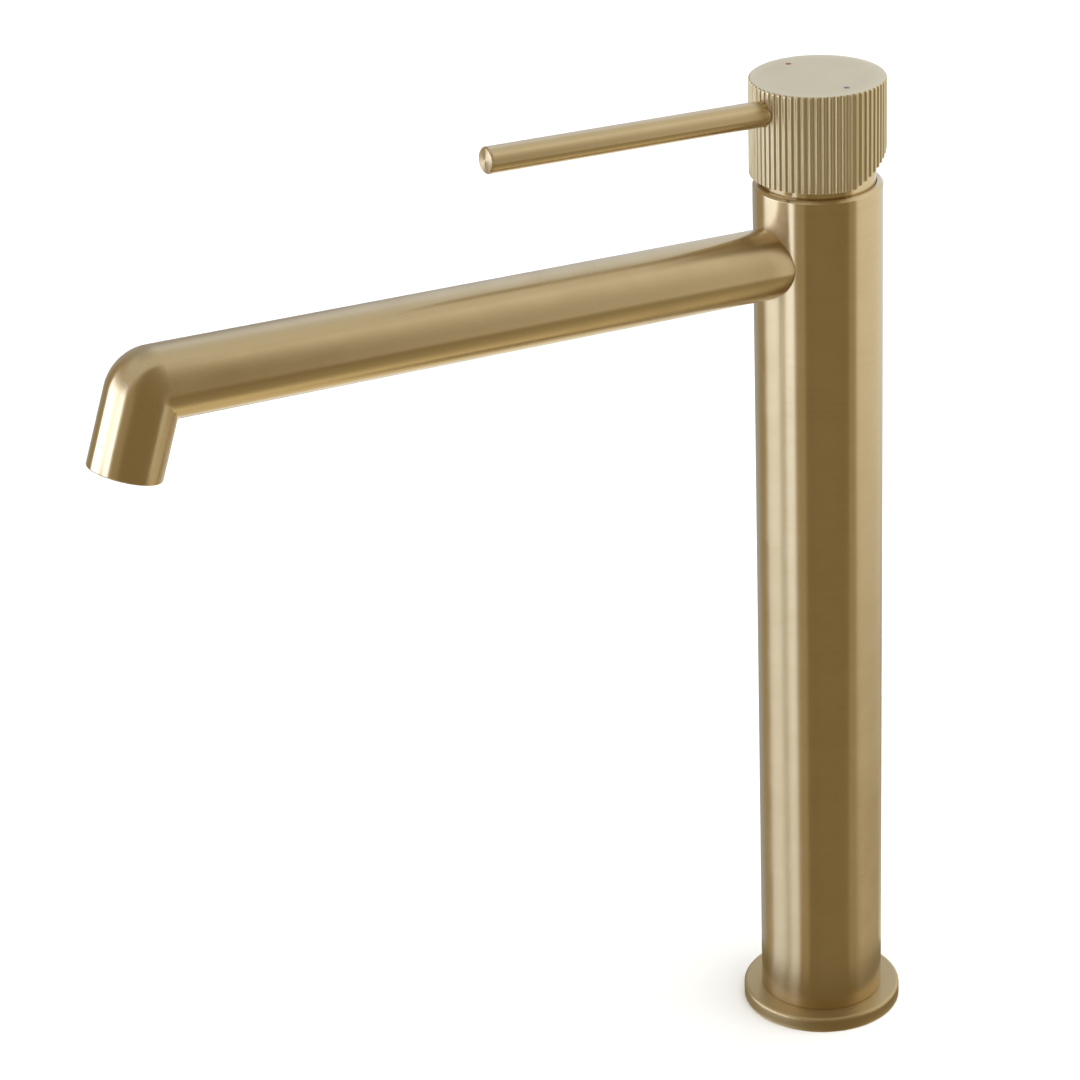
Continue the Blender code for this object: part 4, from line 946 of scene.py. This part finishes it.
def studio():
    """The world: the room's light, as the metal sees it."""
    world = bpy.data.worlds.new("studio")
    bpy.context.scene.world = world
    world.use_nodes = True
    tree = world.node_tree
    nodes, links = tree.nodes, tree.links
    nodes.clear()
    direction = nodes.new("ShaderNodeTexCoord").outputs["Generated"]
    split = nodes.new("ShaderNodeSeparateXYZ")
    links.new(direction, split.inputs[0])
    level = nodes.new("ShaderNodeVectorMath")
    level.operation = "MULTIPLY"
    links.new(direction, level.inputs[0])
    level.inputs[1].default_value = (1.0, 1.0, 0.0)
    heading = nodes.new("ShaderNodeVectorMath")
    heading.operation = "NORMALIZE"
    links.new(level.outputs[0], heading.inputs[0])

    def window(value, outside, inside):
        """0 outside and 1 inside, with a soft step between."""
        step = nodes.new("ShaderNodeMapRange")
        step.interpolation_type = "SMOOTHSTEP"
        links.new(value, step.inputs["Value"])
        step.inputs["From Min"].default_value = outside
        step.inputs["From Max"].default_value = inside
        return step.outputs["Result"]

    def times(first, second):
        """The product of two values."""
        product = nodes.new("ShaderNodeMath")
        product.operation = "MULTIPLY"
        links.new(first, product.inputs[0])
        links.new(second, product.inputs[1])
        return product.outputs[0]

    colour = None
    for azimuth, half, low, high, side_soft, end_soft, tint in ROOM_CARDS:
        share = None
        if half < 180:
            middle = nodes.new("ShaderNodeVectorMath")
            middle.operation = "DOT_PRODUCT"
            links.new(heading.outputs[0], middle.inputs[0])
            middle.inputs[1].default_value = (math.cos(math.radians(azimuth)),
                                              math.sin(math.radians(azimuth)), 0.0)
            share = window(middle.outputs["Value"], math.cos(math.radians(half + side_soft / 2)),
                           math.cos(math.radians(half - side_soft / 2)))
        for bound, sign in ((low, 1), (high, -1)):
            if abs(bound) == 90:
                continue
            rise = window(split.outputs["Z"], math.sin(math.radians(bound - sign * end_soft / 2)),
                          math.sin(math.radians(bound + sign * end_soft / 2)))
            share = rise if share is None else times(share, rise)
        blend = nodes.new("ShaderNodeMix")
        blend.data_type = "RGBA"
        links.new(share, blend.inputs[0])
        if colour is None:
            blend.inputs[6].default_value = (*ROOM_GROUND, 1.0)
        else:
            links.new(colour, blend.inputs[6])
        blend.inputs[7].default_value = (*tint, 1.0)
        colour = blend.outputs[2]
    light = nodes.new("ShaderNodeBackground")
    links.new(colour, light.inputs["Color"])
    out = nodes.new("ShaderNodeOutputWorld")
    links.new(light.outputs[0], out.inputs["Surface"])
    bpy.context.scene.view_settings.view_transform = "Standard"


CAMERA_AZIMUTH = math.radians(58.244)  # of the picture's right-hand direction, from +X towards +Y
CAMERA_PITCH = math.radians(25.308)    # how far it looks down
CAMERA_ROLL = math.radians(-2.33)
CAMERA_PLACE = (0.8512, -0.6317, 0.6724)
CAMERA_LENS = 122.15                   # in millimetres, like the sensor's width
CAMERA_SENSOR = 36.0
CAMERA_REACH = 50.0


def camera():
    """The camera, at the object's right-hand side and looking down on it."""
    data = bpy.data.cameras.new("camera")
    data.lens = CAMERA_LENS
    data.sensor_width = CAMERA_SENSOR
    data.clip_end = CAMERA_REACH
    obj = bpy.data.objects.new("camera", data)
    bpy.context.scene.collection.objects.link(obj)
    right = Vector((math.cos(CAMERA_AZIMUTH), math.sin(CAMERA_AZIMUTH), 0.0))
    back = Vector((math.sin(CAMERA_AZIMUTH) * math.cos(CAMERA_PITCH),
                   -math.cos(CAMERA_AZIMUTH) * math.cos(CAMERA_PITCH), math.sin(CAMERA_PITCH)))
    up = back.cross(right)
    turned_right = right * math.cos(CAMERA_ROLL) + up * math.sin(CAMERA_ROLL)
    turned_up = up * math.cos(CAMERA_ROLL) - right * math.sin(CAMERA_ROLL)
    matrix = Matrix((turned_right, turned_up, back)).transposed().to_4x4()
    matrix.translation = CAMERA_PLACE
    obj.matrix_world = matrix
    bpy.context.scene.camera = obj


OVERHEAD_STRENGTH = 2.6
OVERHEAD_SPREAD = math.radians(70)
OVERHEAD_COLOUR = (0.95, 0.975, 1.0)
OVERHEAD_DIRECTION = Vector((-0.25, -0.15, -1.0))


def overhead_light():
    """One very soft light from above, for the floor's even tone and the soft shadow on it."""
    data = bpy.data.lights.new("overhead", "SUN")
    data.energy = OVERHEAD_STRENGTH
    data.angle = OVERHEAD_SPREAD
    data.color = OVERHEAD_COLOUR
    obj = bpy.data.objects.new("overhead", data)
    obj.rotation_euler = OVERHEAD_DIRECTION.to_track_quat("-Z", "Y").to_euler()
    obj.visible_glossy = False
    bpy.context.scene.collection.objects.link(obj)


floor()
backdrop()
flag()
contact_ring()
studio()
overhead_light()
camera()
